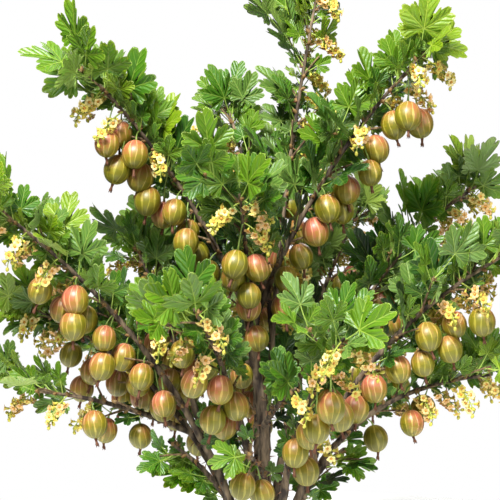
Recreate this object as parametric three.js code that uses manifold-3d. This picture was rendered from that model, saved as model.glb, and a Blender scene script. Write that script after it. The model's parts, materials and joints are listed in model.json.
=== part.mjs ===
// A young gooseberry bush in fruit and late blossom, grown as an open goblet on a short trunk.
//
// Millimetres, +Z up. The origin is the middle of the flat cut under the trunk, at ground level.
// The bush's front is -Y and its right is +X.
//
// The trunk carries the main stems. Each stem, and each side shoot on a stem, is one planar arc from its
// start to its tip. The inner share of that arc is a bare bough, and the outer share is the stem of one
// mass of foliage, which bears twigs, leaves, berries and trusses of flowers by a seeded rule.

import * as THREE from "three";
import { mergeVertices } from "three/addons/utils/BufferGeometryUtils.js";
import Module from "manifold-3d";

const wasm = await Module();
wasm.setup();

const UP = new THREE.Vector3(0, 0, 1);
const FRONT = new THREE.Vector3(0, -1, 0);
const FULL_TURN = 2 * Math.PI;

// ---------------------------------------------------------------- driving dimensions

const GAP = 0.3; // between one solid and the next

const TRUNK = {
  height: 60,
  footRadius: 29,
  waistRadius: 18,
  headRadius: 23.5,
  lean: [4, -3], // from the middle of the foot to the middle of the head
  flareHeight: 9, // the root flare fades over this height
  roots: 5, // swellings round the foot
  rootSwell: 0.1,
  ribs: 10, // one under each main stem
  ribSwell: 0.035,
  sides: 20,
  levels: [0, 4, 10, 20, 34, 48, 60],
};
const STEM_RING = 17.6; // the main stems stand on a ring of this radius round the trunk's head
const SUNK = 3; // how far a stem starts below the head, before the head is cut out of it

const STEM_RADII = [4.6, 1.5]; // at the start and at the tip
const SIDE_RADII = [3.3, 1.4];

// from: the shoot that a side shoot leaves; at: where it does so, as a share of that shoot's arc
// ring: the azimuth in degrees at which a main stem stands on the trunk's head
// bow: how far the arc's control point stands above the middle of its chord
// bare: the share of the arc that is a bough with no leaves
// fruited: the share of the mass that bears berries, where it isn't BERRY_ZONE
const SHOOTS = [
  { name: "middle", tip: [-14, -10, 306], bow: 14, bare: 1, radii: [6.8, 4.8] },
  { name: "upper_left", from: "middle", at: 0.98, tip: [-156, -60, 530], bow: 27, bare: 0.13, fruited: 0.95 },
  { name: "upper_right", from: "middle", at: 0.93, tip: [156, -50, 562], bow: 36, bare: 0.13, fruited: 0.88 },
  { name: "tall", from: "middle", at: 0.3, tip: [58, 56, 636], bow: 34, bare: 0.38, fruited: 0.42 },
  { name: "left_high", ring: 222, tip: [-244, -70, 404], bow: 69, bare: 0.4 },
  { name: "left_low", ring: 186, tip: [-236, 34, 310], bow: 87, bare: 0.44 },
  { name: "right_high", ring: 332, tip: [242, -62, 372], bow: 93, bare: 0.4 },
  { name: "right_low", ring: 8, tip: [226, -14, 246], bow: 105, bare: 0.44 },
  { name: "right_back", ring: 44, tip: [226, 88, 434], bow: 120, bare: 0.42, fruited: 0.6 },
  { name: "back_left", ring: 152, tip: [-120, 186, 380], bow: 70, bare: 0.4 },
  { name: "back_right", ring: 80, tip: [112, 196, 412], bow: 75, bare: 0.4 },
  { name: "back", ring: 116, tip: [-8, 228, 318], bow: 85, bare: 0.42 },
  { name: "front_left", ring: 258, tip: [-62, -168, 322], bow: 60, bare: 0.4 },
  { name: "front_right", ring: 295, tip: [72, -172, 296], bow: 60, bare: 0.4 },
  { name: "inner_left", from: "middle", at: 0.78, tip: [-104, -84, 306], bow: 12, bare: 0.16 },
  { name: "upper_back", from: "tall", at: 0.3, tip: [-36, 96, 520], bow: 25, bare: 0.1 },
  { name: "left_skirt", from: "left_low", at: 0.4, tip: [-224, -44, 234], bow: 14, bare: 0.1 },
  { name: "right_inner", from: "right_back", at: 0.31, tip: [140, 12, 365], bow: 15, bare: 0.1 },
  { name: "back_left_low", from: "back_left", at: 0.28, tip: [-172, 128, 262], bow: 35, bare: 0.12 },
  { name: "back_right_low", from: "back_right", at: 0.27, tip: [178, 150, 280], bow: 35, bare: 0.12 },
  { name: "crown_back", from: "middle", at: 0.84, tip: [14, 140, 462], bow: 30, bare: 0.12 },
  { name: "crown_front", from: "middle", at: 0.88, tip: [-22, -92, 425], bow: 18, bare: 0.16 },
  { name: "left_inner", from: "left_high", at: 0.3, tip: [-128, 22, 374], bow: 12, bare: 0.1 },
  { name: "spur_left", from: "middle", at: 0.32, tip: [-16, -124, 186], bow: 8, bare: 0.2 },
  { name: "spur_right", from: "middle", at: 0.54, tip: [30, -128, 246], bow: 8, bare: 0.2 },
  { name: "foot_left", from: "left_low", at: 0.18, tip: [-92, -30, 182], bow: 8, bare: 0.14, fruited: 0 },
  { name: "foot_right", from: "right_low", at: 0.2, tip: [80, -36, 176], bow: 8, bare: 0.14, fruited: 0 },
];

const NODE_SPACING = 25; // between the buds along a shoot
const GOLDEN_TURN = 2.39996; // from one bud to the next round the shoot
const TWIG_EVERY = 4; // buds from one side twig to the next
const TWIG_LENGTH = [34, 52];
const TWIG_RADII = [1.3, 0.8];
const END_SPARE = 5; // a stem and a twig run on past their last leaves by this much
const TIP_LEAVES = 5;
const BUD_LEAVES = 3;
const ROOT_STEP = 2.5; // between the roots of two leaves of one bud
const LEAF_SPACING = 27; // least distance between two blades' middles
const LEAF_TRIES = 7;
const STEM_VIEW = 5; // no leaf in front of a stem in view stands this near to it, seen from the front
// The limbs that no leaf hides from the front.
const IN_VIEW = ["middle", "upper_left", "upper_right", "left_high", "left_low", "right_high", "right_low"];

const LEAF_WIDTH = [28, 46];
const LEAF_STALK = [16, 32];
const BACK_HALF = 110; // leaves rooted behind this depth face the back, and the others the front
const LEAF_BLADE = 0.92; // blade's length over its width
const LEAF_THICKNESS = 1.2; // at the middle of the blade
// One half of a leaf's edge, along and across, as shares of the blade's length and width: the end of
// the stalk, the tip of the side lobe and the notch beyond it.
const LEAF_EDGE = [
  [0, 0.06],
  [0.32, 0.5],
  [0.54, 0.28],
];
const LEAF_MIDDLE = 0.42; // where the blade is thickest

const BERRY_RADIUS = 13;
const BERRY_LENGTH = 14.5; // half of the berry's height
const BERRY_DROP = [21, 27]; // from the bud down to the berry's middle
const BERRY_OUT = [8, 15]; // from the shoot out to the berry's middle
const BERRY_STALK_RADIUS = 0.8;
const BERRY_SPACING = 26.8; // least distance between two berries' middles
const BERRY_TRIES = 8;
const BERRY_SHARE = 0.5; // the part of a berry's radius that counts against its neighbours' space
const BERRY_ZONE = 0.76; // berries hang on the inner share of a mass
const BERRIES_PER_BUD = 3;

const TRUSS_LENGTH = [38, 50];
const TRUSS_RADIUS = 7;
const TRUSS_WIDEST = 0.62;
const TRUSS_SPACING = 27; // least distance between two trusses' thickest parts
const TRUSS_ZONE = 0.6; // beyond this share of a mass every bud may bear a truss
const TRUSS_EVERY = 3; // buds from one truss to the next on the inner share
const TRUSS_TRIES = 3;
const TRUSS_FLOOR = 200; // no truss is rooted lower than this

const VIEW_LENGTH = 60; // no leaf stands this far in front of a berry or a truss
const VIEW_RADIUS = 10;
const NEAR = 80; // a leaf is tested against the berries and trusses this near to its root

const SPACE_MARGIN = 3; // how much nearer a point must be to its own mass's stem than to any other
const LIMB_CLEARANCE = 1.6;
const AXIS_SAMPLES = 9;
const BOUGH_SIDES = 6;
const STEM_SIDES = 3;
const TWIG_SIDES = 3;
const BOUGH_STEP = 42; // length of one straight facet of a bough
const STEM_STEP = 46;
const SEED = 20;

// ---------------------------------------------------------------- seeded chance

// A number from 0 to 1 that depends only on its keys, so that each bud's draws stay its own.
function chance(...keys) {
  let hash = SEED;
  for (const key of keys) {
    hash = Math.imul(hash ^ (key + 0x9e3779b9), 0x85ebca6b);
    hash ^= hash >>> 13;
  }
  hash = Math.imul(hash, 0xc2b2ae35);
  hash ^= hash >>> 16;
  return (hash >>> 0) / 4294967296;
}

const between = ([low, high], share) => low + (high - low) * share;

// ---------------------------------------------------------------- vectors

const vector = (x, y, z) => new THREE.Vector3(x, y, z);

// The sum of vectors, each times its own number: sum(a, 2, b, 3) is 2a + 3b.
function sum(...terms) {
  const total = vector(0, 0, 0);
  for (let i = 0; i < terms.length; i += 2) total.addScaledVector(terms[i], terms[i + 1]);
  return total;
}

const unit = (...terms) => sum(...terms).normalize();

// The part of a that is square to b, as a unit vector.
const squareTo = (a, b) => unit(a, 1, b, -a.dot(b) / b.lengthSq());

// Away from the bush's upright middle line, level.
function outwardFrom(point) {
  const away = vector(point.x, point.y, 0);
  return away.lengthSq() > 1 ? away.normalize() : FRONT.clone();
}

function distanceToSegment(point, from, to) {
  const run = sum(to, 1, from, -1);
  const share = THREE.MathUtils.clamp(sum(point, 1, from, -1).dot(run) / run.lengthSq(), 0, 1);
  return point.distanceTo(sum(from, 1, run, share));
}

function distanceToLine(point, line) {
  let least = Infinity;
  for (let i = 1; i < line.length; i++)
    least = Math.min(least, distanceToSegment(point, line[i - 1], line[i]));
  return least;
}

// ---------------------------------------------------------------- shoots

// A shoot's arc lies in the upright plane of its chord.
function makeShoot(spec, index, made) {
  const parent = made.find((shoot) => shoot.name === spec.from);
  const azimuth = THREE.MathUtils.degToRad(spec.ring ?? 0);
  const ringRadius = spec.ring === undefined ? 0 : STEM_RING;
  const start = parent
    ? parent.point(spec.at)
    : vector(
        TRUNK.lean[0] + ringRadius * Math.cos(azimuth),
        TRUNK.lean[1] + ringRadius * Math.sin(azimuth),
        TRUNK.height - SUNK,
      );
  const tip = vector(...spec.tip);
  const chord = sum(tip, 1, start, -1);
  const rise = squareTo(UP, chord);
  const control = sum(start, 0.5, tip, 0.5, rise, spec.bow);
  const side = chord.clone().cross(rise).normalize();
  const radii = spec.radii ?? (parent ? SIDE_RADII : STEM_RADII);
  const shoot = {
    ...spec,
    index,
    parent,
    side,
    point: (t) => sum(start, (1 - t) ** 2, control, 2 * t * (1 - t), tip, t ** 2),
    heading: (t) => unit(start, t - 1, control, 1 - 2 * t, tip, t),
    radius: (t) => between(radii, t),
  };
  const steps = Array.from({ length: AXIS_SAMPLES }, (_, i) => i / (AXIS_SAMPLES - 1));
  const line = (from, to) => steps.map((step) => shoot.point(between([from, to], step)));
  shoot.boughLine = line(0, spec.bare);
  shoot.massLine = line(spec.bare, 1);
  shoot.wholeLine = line(0, 1);
  shoot.length = shoot.wholeLine.reduce((total, p, i, all) => (i ? total + p.distanceTo(all[i - 1]) : 0), 0);
  return shoot;
}

const shoots = [];
SHOOTS.forEach((spec, index) => shoots.push(makeShoot(spec, index, shoots)));
const boughs = shoots.filter((shoot) => shoot.bare > 0);
const masses = shoots.filter((shoot) => shoot.bare < 1);

// ---------------------------------------------------------------- the rule of growth

// A ball keeps to a mass's space if it is nearer to that mass's stem than to any other's.
function inOwnSpace(shoot, centre, radius) {
  const own = distanceToLine(centre, shoot.massLine) + SPACE_MARGIN + 2 * radius;
  return masses.every((other) => other === shoot || distanceToLine(centre, other.massLine) > own);
}

function clearOfBoughs(point, reach) {
  if (point.z < TRUNK.height + reach) return false;
  return boughs.every(
    (bough) => distanceToLine(point, bough.boughLine) > bough.radius(0) + LIMB_CLEARANCE + reach,
  );
}

const clearOfBerries = (point, berries, distance) =>
  berries.every((berry) => berry.centre.distanceTo(point) > distance);

// The way to each berry and truss is open, both from outside the bush and from its front.
const leavesInView = (point, shown) =>
  shown.every(({ spot }) =>
    [outwardFrom(spot), FRONT].every(
      (way) => distanceToSegment(point, spot, sum(spot, 1, way, VIEW_LENGTH)) > VIEW_RADIUS,
    ),
  );

const flattened = (point) => vector(point.x, 0, point.z);

// The points stand beside a line, or behind a depth, as seen from the front.
function besideLine(points, line, depth) {
  const flat = line.map(flattened);
  return points.every((p) => p.y > depth || distanceToLine(flattened(p), flat) > STEM_VIEW);
}

// A leaf hides neither its own mass's stem nor one of the limbs in view.
function stemsInView(leaf, points) {
  const others = shoots.filter((shoot) => shoot !== leaf.shoot && IN_VIEW.includes(shoot.name));
  return (
    besideLine(points, leaf.shoot.massLine, leaf.root.y) &&
    others.every((other) => besideLine(points, other.wholeLine, other.point(0.5).y))
  );
}

const fits = (shoot, points) =>
  points.every((point) => inOwnSpace(shoot, point, 0) && clearOfBoughs(point, 0));

// The buds along a line: each has a place, the line's heading there and a direction square to it.
function budAt(shoot, key, place, heading, share, radius) {
  const turn = key * GOLDEN_TURN + chance(shoot.index, key, 1);
  const across = squareTo(shoot.side, heading);
  const over = heading.clone().cross(across);
  return {
    key,
    place,
    heading,
    share,
    radius,
    outward: outwardFrom(place),
    radial: sum(across, Math.cos(turn), over, Math.sin(turn)),
  };
}

// The stem's buds, from the foot of the mass to its tip.
function stemBuds(shoot) {
  const length = shoot.length * (1 - shoot.bare);
  const count = Math.max(2, Math.round(length / NODE_SPACING));
  return Array.from({ length: count }, (_, i) => {
    const share = (i + 0.6) / count;
    const t = between([shoot.bare, 1], Math.min(share, 1));
    return budAt(shoot, i, shoot.point(t), shoot.heading(t), share, shoot.radius(t));
  });
}

function tipBud(shoot) {
  const last = 1 - END_SPARE / shoot.length;
  return budAt(shoot, 90, shoot.point(last), shoot.heading(1), 1, STEM_RADII[1]);
}

// A side twig leaves every few buds and ends in a bud of its own.
function sideTwigs(shoot, buds) {
  return buds
    .filter((bud, i) => i % TWIG_EVERY === 1)
    .map((bud) => {
      const heading = unit(bud.radial, 0.8, bud.heading, 0.5, UP, 0.3, bud.outward, 0.3);
      const length = between(TWIG_LENGTH, chance(shoot.index, bud.key, 2));
      const to = sum(bud.place, 1, heading, length);
      return { from: bud.place, to, end: sum(to, 1, heading, END_SPARE), heading };
    })
    .filter((twig) => fits(shoot, [twig.end, sum(twig.from, 0.5, twig.end, 0.5)]));
}

// Berries hang under a bud, out to one side. Each tries a few places and takes the first that is free.
function berryAt(shoot, bud, slot, berries) {
  for (let attempt = 0; attempt < BERRY_TRIES; attempt++) {
    const draw = (channel) => chance(shoot.index, bud.key, slot, attempt, channel);
    const turn = (draw(11) - 0.5) * Math.PI * 1.3;
    const out = bud.outward.clone().applyAxisAngle(UP, turn + slot * 1.9);
    const reach = between(BERRY_OUT, draw(12));
    const drop = between(BERRY_DROP, draw(13)) + slot * 3;
    const centre = sum(bud.place, 1, out, reach, UP, -drop);
    const free =
      clearOfBerries(centre, berries, BERRY_SPACING) &&
      clearOfBoughs(centre, BERRY_RADIUS) &&
      distanceToLine(centre, shoot.massLine) > BERRY_RADIUS + shoot.radius(shoot.bare) &&
      inOwnSpace(shoot, centre, BERRY_SHARE * BERRY_RADIUS);
    const hang = unit(UP, -1, out, 0.1 + 0.25 * draw(14));
    if (free) return { kind: "berry", shoot, bud, centre, hang, spot: centre };
  }
  return null;
}

function leafAt(shoot, bud, slot, attempt, lift) {
  const draw = (channel) => chance(shoot.index, bud.key, slot, attempt, channel);
  const turn = slot * 2.5 + attempt * 0.9 + 0.8 * (draw(21) - 0.5);
  const radial = bud.radial.clone().applyAxisAngle(bud.heading, turn);
  const along = unit(radial, 0.75, UP, 0.5, bud.heading, lift, bud.outward, 0.1);
  const stray = vector(draw(22) - 0.5, draw(23) - 0.5, draw(24) - 0.5);
  const light = bud.place.y < BACK_HALF ? FRONT : bud.outward;
  const facing = unit(UP, 0.45, light, 0.7, bud.outward, 0.5, stray, 1.2);
  const normal = squareTo(facing, along);
  const width = between(LEAF_WIDTH, draw(25));
  const stalk = between(LEAF_STALK, draw(26)) * (0.6 + width / LEAF_WIDTH[1] / 2);
  const root = sum(bud.place, 1, bud.heading, -slot * ROOT_STEP);
  const middle = sum(root, 1, along, stalk + LEAF_MIDDLE * width * LEAF_BLADE);
  return { kind: "leaf", shoot, root, along, normal, width, stalk, middle };
}

// A leaf's outline in space, from its root round the blade and back.
function leafOutline(leaf) {
  const across = leaf.normal.clone().cross(leaf.along);
  const length = leaf.width * LEAF_BLADE;
  const at = (share, side) =>
    sum(leaf.root, 1, leaf.along, leaf.stalk + share * length, across, side * leaf.width);
  const edge = LEAF_EDGE.map(([share, side]) => [share, side]);
  return [
    leaf.root.clone(),
    ...edge.map(([share, side]) => at(share, side)),
    at(1, 0),
    ...edge.reverse().map(([share, side]) => at(share, -side)),
  ];
}

function leafFits(leaf, { berries, trusses }, leaves) {
  if (leaves.some((other) => other.middle.distanceTo(leaf.middle) < LEAF_SPACING)) return false;
  const outline = leafOutline(leaf).slice(1);
  const halfway = outline.map((p, i) => sum(p, 0.5, outline[(i + 1) % outline.length], 0.5));
  if (!stemsInView(leaf, [...outline, ...halfway, leaf.middle])) return false;
  const points = [...outline, ...halfway, sum(leaf.root, 0.5, leaf.middle, 0.5), leaf.middle];
  const isNear = ({ spot }) => spot.distanceTo(leaf.root) < NEAR;
  const near = berries.filter(isNear);
  const shown = [...near, ...trusses.filter(isNear)];
  return (
    fits(leaf.shoot, points) &&
    points.every((p) => clearOfBerries(p, near, BERRY_LENGTH + 0.5) && leavesInView(p, shown))
  );
}

function trussAt(shoot, bud, attempt) {
  const draw = (channel) => chance(shoot.index, bud.key, attempt, channel);
  const out = bud.outward.clone().applyAxisAngle(UP, (draw(31) - 0.5) * Math.PI);
  const along = unit(out, 0.85, UP, -0.6);
  const length = between(TRUSS_LENGTH, draw(32));
  const spot = sum(bud.place, 1, along, length * TRUSS_WIDEST);
  return { kind: "truss", shoot, root: bud.place, along, length, spot };
}

function trussFits(truss, { berries, trusses }) {
  if (truss.root.z < TRUSS_FLOOR) return false;
  const points = [0.4, 0.7, 1].map((share) => sum(truss.root, 1, truss.along, truss.length * share));
  return (
    fits(truss.shoot, points) &&
    points.every((p) => clearOfBerries(p, berries, BERRY_LENGTH + TRUSS_RADIUS)) &&
    trusses.every((other) => other.spot.distanceTo(truss.spot) >= TRUSS_SPACING)
  );
}

function growBerries({ shoot, buds, items }, { berries }) {
  const bearing = buds.filter((bud) => bud.share < (shoot.fruited ?? BERRY_ZONE));
  for (const bud of bearing)
    for (let slot = 0; slot < BERRIES_PER_BUD; slot++) {
      const berry = berryAt(shoot, bud, slot, berries);
      if (!berry) continue;
      berries.push(berry);
      items.push(berry);
    }
}

function growTrusses({ shoot, buds, items }, fruit) {
  const bearing = buds.filter((bud, i) => bud.share > TRUSS_ZONE || i % TRUSS_EVERY === 1);
  for (const bud of [tipBud(shoot), ...bearing])
    for (let attempt = 0; attempt < TRUSS_TRIES; attempt++) {
      const truss = trussAt(shoot, bud, attempt);
      if (!trussFits(truss, fruit)) continue;
      fruit.trusses.push(truss);
      items.push(truss);
      break;
    }
}

function growLeaves({ shoot, buds, twigs, items }, fruit) {
  const leaves = [];
  const addLeaf = (bud, slot, lift) => {
    for (let attempt = 0; attempt < LEAF_TRIES; attempt++) {
      const leaf = leafAt(shoot, bud, slot, attempt, lift);
      if (leafFits(leaf, fruit, leaves)) {
        leaves.push(leaf);
        return;
      }
    }
  };
  const ends = [
    tipBud(shoot),
    ...twigs.map((twig, i) => budAt(shoot, 60 + i, twig.to, twig.heading, 1, TWIG_RADII[1])),
  ];
  for (const bud of ends) for (let slot = 0; slot < TIP_LEAVES; slot++) addLeaf(bud, slot, 0.8);
  for (const bud of buds) for (let slot = 0; slot < BUD_LEAVES; slot++) addLeaf(bud, slot, 0.2);
  items.push(...leaves);
}

// All that grows on every mass. Fruit takes its places first, then blossom, and leaves fill in round them.
function grow() {
  const grown = masses.map((shoot) => {
    const buds = stemBuds(shoot);
    return { shoot, buds, twigs: sideTwigs(shoot, buds), items: [] };
  });
  const fruit = { berries: [], trusses: [] };
  for (const mass of grown) growBerries(mass, fruit);
  for (const mass of grown) growTrusses(mass, fruit);
  for (const mass of grown) growLeaves(mass, fruit);
  return grown;
}

// ---------------------------------------------------------------- solids

// A manifold solid from points and the triangles between them.
function solid(points, faces) {
  const geometry = new THREE.BufferGeometry()
    .setAttribute("position", new THREE.Float32BufferAttribute(points.flatMap((p) => p.toArray()), 3))
    .setIndex(faces);
  const merged = mergeVertices(geometry, 1e-4);
  return new wasm.Manifold(
    new wasm.Mesh({
      numProp: 3,
      vertProperties: merged.attributes.position.array,
      triVerts: new Uint32Array(merged.index.array),
    }),
  );
}

// A closed solid through rings of points, with flat ends.
function loft(rings) {
  const sides = rings[0].length;
  const last = (rings.length - 1) * sides;
  const faces = [];
  for (let side = 0; side < sides; side++) {
    const next = (side + 1) % sides;
    for (let base = 0; base < last; base += sides) {
      faces.push(base + side, base + next, base + next + sides);
      faces.push(base + side, base + next + sides, base + side + sides);
    }
  }
  for (let side = 1; side < sides - 1; side++) {
    faces.push(0, side + 1, side);
    faces.push(last, last + side, last + side + 1);
  }
  return solid(rings.flat(), faces);
}

function ringRound(centre, heading, across, radius, sides) {
  const first = squareTo(across, heading);
  const second = heading.clone().cross(first);
  return Array.from({ length: sides }, (_, side) => {
    const angle = (side / sides) * FULL_TURN;
    return sum(centre, 1, first, radius * Math.cos(angle), second, radius * Math.sin(angle));
  });
}

// A tapering limb along a shoot's arc. spare widens and lengthens it by that much.
function limb(shoot, from, to, sides, step, spare = 0) {
  const count = Math.max(1, Math.round(((to - from) * shoot.length) / step));
  const more = spare / shoot.length;
  const rings = Array.from({ length: count + 1 }, (_, i) => {
    const t = between([from - more, to + more], i / count);
    return ringRound(shoot.point(t), shoot.heading(t), shoot.side, shoot.radius(t) + spare, sides);
  });
  return loft(rings);
}

function twigSolid(from, to, radii) {
  const heading = unit(to, 1, from, -1);
  const across = squareTo(Math.abs(heading.z) < 0.9 ? UP : FRONT, heading);
  return loft([
    ringRound(from, heading, across, radii[0], TWIG_SIDES),
    ringRound(to, heading, across, radii[1], TWIG_SIDES),
  ]);
}

// A low pyramid: flat below, and raised to the leaf's thickness over the middle of the blade.
function leafSolid(leaf) {
  const outline = leafOutline(leaf);
  const count = outline.length;
  const faces = outline.flatMap((_, i) => [(i + 1) % count, i, count]);
  faces.push(0, 1, count - 1);
  for (let right = 2; right < count / 2; right++) {
    const left = count - right;
    faces.push(right - 1, right, left);
    faces.push(right - 1, left, left + 1);
  }
  faces.push(count / 2 - 1, count / 2, count / 2 + 1);
  return solid([...outline, sum(leaf.middle, 1, leaf.normal, LEAF_THICKNESS)], faces);
}

function berrySolids(berry) {
  const ball = new THREE.IcosahedronGeometry(1, 0);
  ball.scale(BERRY_RADIUS, BERRY_RADIUS, BERRY_LENGTH);
  ball.applyQuaternion(new THREE.Quaternion().setFromUnitVectors(UP, sum(berry.hang, -1)));
  ball.translate(...berry.centre.toArray());
  ball.deleteAttribute("normal");
  ball.deleteAttribute("uv");
  const welded = mergeVertices(ball);
  const points = [];
  for (let i = 0; i < welded.attributes.position.count; i++)
    points.push(new THREE.Vector3().fromBufferAttribute(welded.attributes.position, i));
  const crown = sum(berry.centre, 1, berry.hang, -BERRY_LENGTH * 0.7);
  return [
    solid(points, [...welded.index.array]),
    twigSolid(berry.bud.place, crown, [BERRY_STALK_RADIUS, BERRY_STALK_RADIUS]),
  ];
}

function trussSolid(truss) {
  const across = squareTo(UP, truss.along);
  const waist = sum(truss.root, 1, truss.along, truss.length * TRUSS_WIDEST);
  const ring = ringRound(waist, truss.along, across, TRUSS_RADIUS, 4);
  const points = [truss.root, ...ring, sum(truss.root, 1, truss.along, truss.length)];
  const faces = ring.flatMap((_, i) => {
    const next = (i + 1) % ring.length;
    return [0, next + 1, i + 1, ring.length + 1, i + 1, next + 1];
  });
  return solid(points, faces);
}

// The trunk flares into roots at its foot and into a rib under each main stem at its head.
function trunkSolid(spare = 0) {
  const rings = TRUNK.levels.map((z, i) => {
    const rise = z / TRUNK.height;
    const flare = Math.exp(-z / TRUNK.flareHeight);
    const foot = (TRUNK.footRadius - TRUNK.waistRadius) * flare;
    const head = (TRUNK.headRadius - TRUNK.waistRadius) * THREE.MathUtils.smoothstep(rise, 0.1, 0.9);
    const level = z + (i === TRUNK.levels.length - 1 ? spare : 0);
    return Array.from({ length: TRUNK.sides }, (_, side) => {
      const angle = (side / TRUNK.sides) * FULL_TURN;
      const root = TRUNK.rootSwell * flare * Math.cos(TRUNK.roots * angle);
      const rib = TRUNK.ribSwell * rise * Math.cos(TRUNK.ribs * angle);
      const radius = (TRUNK.waistRadius + foot + head) * (1 + root + rib) + spare;
      return vector(
        TRUNK.lean[0] * rise + radius * Math.cos(angle),
        TRUNK.lean[1] * rise + radius * Math.sin(angle),
        level,
      );
    });
  });
  return loft(rings);
}

// The largest piece, which drops loose scraps and fills sealed hollows.
function largest(made) {
  const pieces = made.decompose();
  return pieces.reduce((best, piece) => (piece.volume() > best.volume() ? piece : best));
}

function cutClear(made, others) {
  const touching = others.filter((other) => !made.intersect(other).isEmpty());
  return touching.length ? largest(touching.reduce((left, other) => left.subtract(other), made)) : made;
}

// ---------------------------------------------------------------- the bush

const MATERIALS = {
  bark: new THREE.MeshStandardMaterial({ color: 0x4a382b, roughness: 0.9, metalness: 0 }),
  foliage: new THREE.MeshStandardMaterial({ color: 0x4f8a2a, roughness: 0.6, metalness: 0 }),
};

function meshOf(name, made, material) {
  const { vertProperties, triVerts } = made.getMesh();
  const geometry = new THREE.BufferGeometry()
    .setAttribute("position", new THREE.BufferAttribute(vertProperties, 3))
    .setIndex(new THREE.BufferAttribute(triVerts, 1));
  const mesh = new THREE.Mesh(geometry, material);
  mesh.name = name;
  return mesh;
}

const bush = new THREE.Group();
const keepOut = [trunkSolid(GAP)]; // the limbs made so far, each widened by the gap
bush.add(meshOf("trunk", trunkSolid(), MATERIALS.bark));

for (const shoot of boughs) {
  const made = cutClear(limb(shoot, 0, shoot.bare, BOUGH_SIDES, BOUGH_STEP), keepOut);
  keepOut.push(limb(shoot, 0, shoot.bare, BOUGH_SIDES, BOUGH_STEP, GAP));
  bush.add(meshOf("bough_" + shoot.name, made, MATERIALS.bark));
}

for (const { shoot, twigs, items } of grow()) {
  const start = shoot.bare ? shoot.bare + (1.2 * GAP) / shoot.length : 0;
  const pieces = [limb(shoot, start, 1, STEM_SIDES, STEM_STEP)];
  for (const twig of twigs) pieces.push(twigSolid(twig.from, twig.end, TWIG_RADII));
  for (const item of items) {
    if (item.kind === "leaf") pieces.push(leafSolid(item));
    if (item.kind === "berry") pieces.push(...berrySolids(item));
    if (item.kind === "truss") pieces.push(trussSolid(item));
  }
  const fused = largest(wasm.Manifold.union(pieces));
  bush.add(meshOf("mass_" + shoot.name, cutClear(fused, keepOut), MATERIALS.foliage));
}

export default bush;
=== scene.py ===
"""The looks of the gooseberry bush: bark, leaves, berries and blossom, grown by the CAD's own rule.

Lengths of the plant are in millimetres, as in the CAD source, and turn into metres when a mesh is made.
"""

import json
import math
from types import SimpleNamespace

import bpy
import numpy as np
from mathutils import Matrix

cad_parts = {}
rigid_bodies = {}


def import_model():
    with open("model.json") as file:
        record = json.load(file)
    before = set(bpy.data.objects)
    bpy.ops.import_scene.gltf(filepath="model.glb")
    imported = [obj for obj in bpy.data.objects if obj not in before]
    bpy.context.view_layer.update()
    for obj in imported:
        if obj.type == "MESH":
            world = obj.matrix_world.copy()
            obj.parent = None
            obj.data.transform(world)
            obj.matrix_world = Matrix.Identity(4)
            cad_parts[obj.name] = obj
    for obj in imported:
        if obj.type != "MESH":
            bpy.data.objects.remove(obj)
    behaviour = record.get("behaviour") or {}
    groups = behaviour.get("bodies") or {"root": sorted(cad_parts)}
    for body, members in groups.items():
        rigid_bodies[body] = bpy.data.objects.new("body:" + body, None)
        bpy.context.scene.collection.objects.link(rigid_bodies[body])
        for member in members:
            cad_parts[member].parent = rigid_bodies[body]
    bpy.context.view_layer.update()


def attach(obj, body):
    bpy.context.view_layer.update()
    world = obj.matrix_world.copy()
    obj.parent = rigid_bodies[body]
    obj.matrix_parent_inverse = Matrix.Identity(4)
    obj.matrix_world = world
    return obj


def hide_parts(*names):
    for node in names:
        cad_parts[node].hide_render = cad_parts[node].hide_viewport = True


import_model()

UP = np.array([0.0, 0.0, 1.0])
FRONT = np.array([0.0, -1.0, 0.0])
RIGHT = np.array([1.0, 0.0, 0.0])
MASK = 0xFFFFFFFF

# ---- driving dimensions, shared with the CAD

TRUNK_HEIGHT = 60
FOOT_RADIUS, WAIST_RADIUS, HEAD_RADIUS = 29, 18, 23.5
TRUNK_LEAN = (4, -3)  # how far the middle of the head stands from over the foot's
FLARE_HEIGHT = 9
ROOTS, ROOT_SWELL = 5, 0.1
RIBS, RIB_SWELL = 10, 0.035
FURROW_DEPTH = 3.2  # how much further the bark falls between two ribs than it rises on one
STEM_RING = 17.6  # the main stems stand on a ring of this radius round the head
SUNK = 3  # how far a stem starts below the head

STEM_RADII = (4.6, 1.5)
SIDE_RADII = (3.3, 1.4)

# The share of a mass that bears berries, where it isn't BERRY_ZONE.
FRUITED = {
    "upper_left": 0.95,
    "upper_right": 0.88,
    "tall": 0.42,
    "right_back": 0.6,
    "foot_left": 0,
    "foot_right": 0,
}
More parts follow.
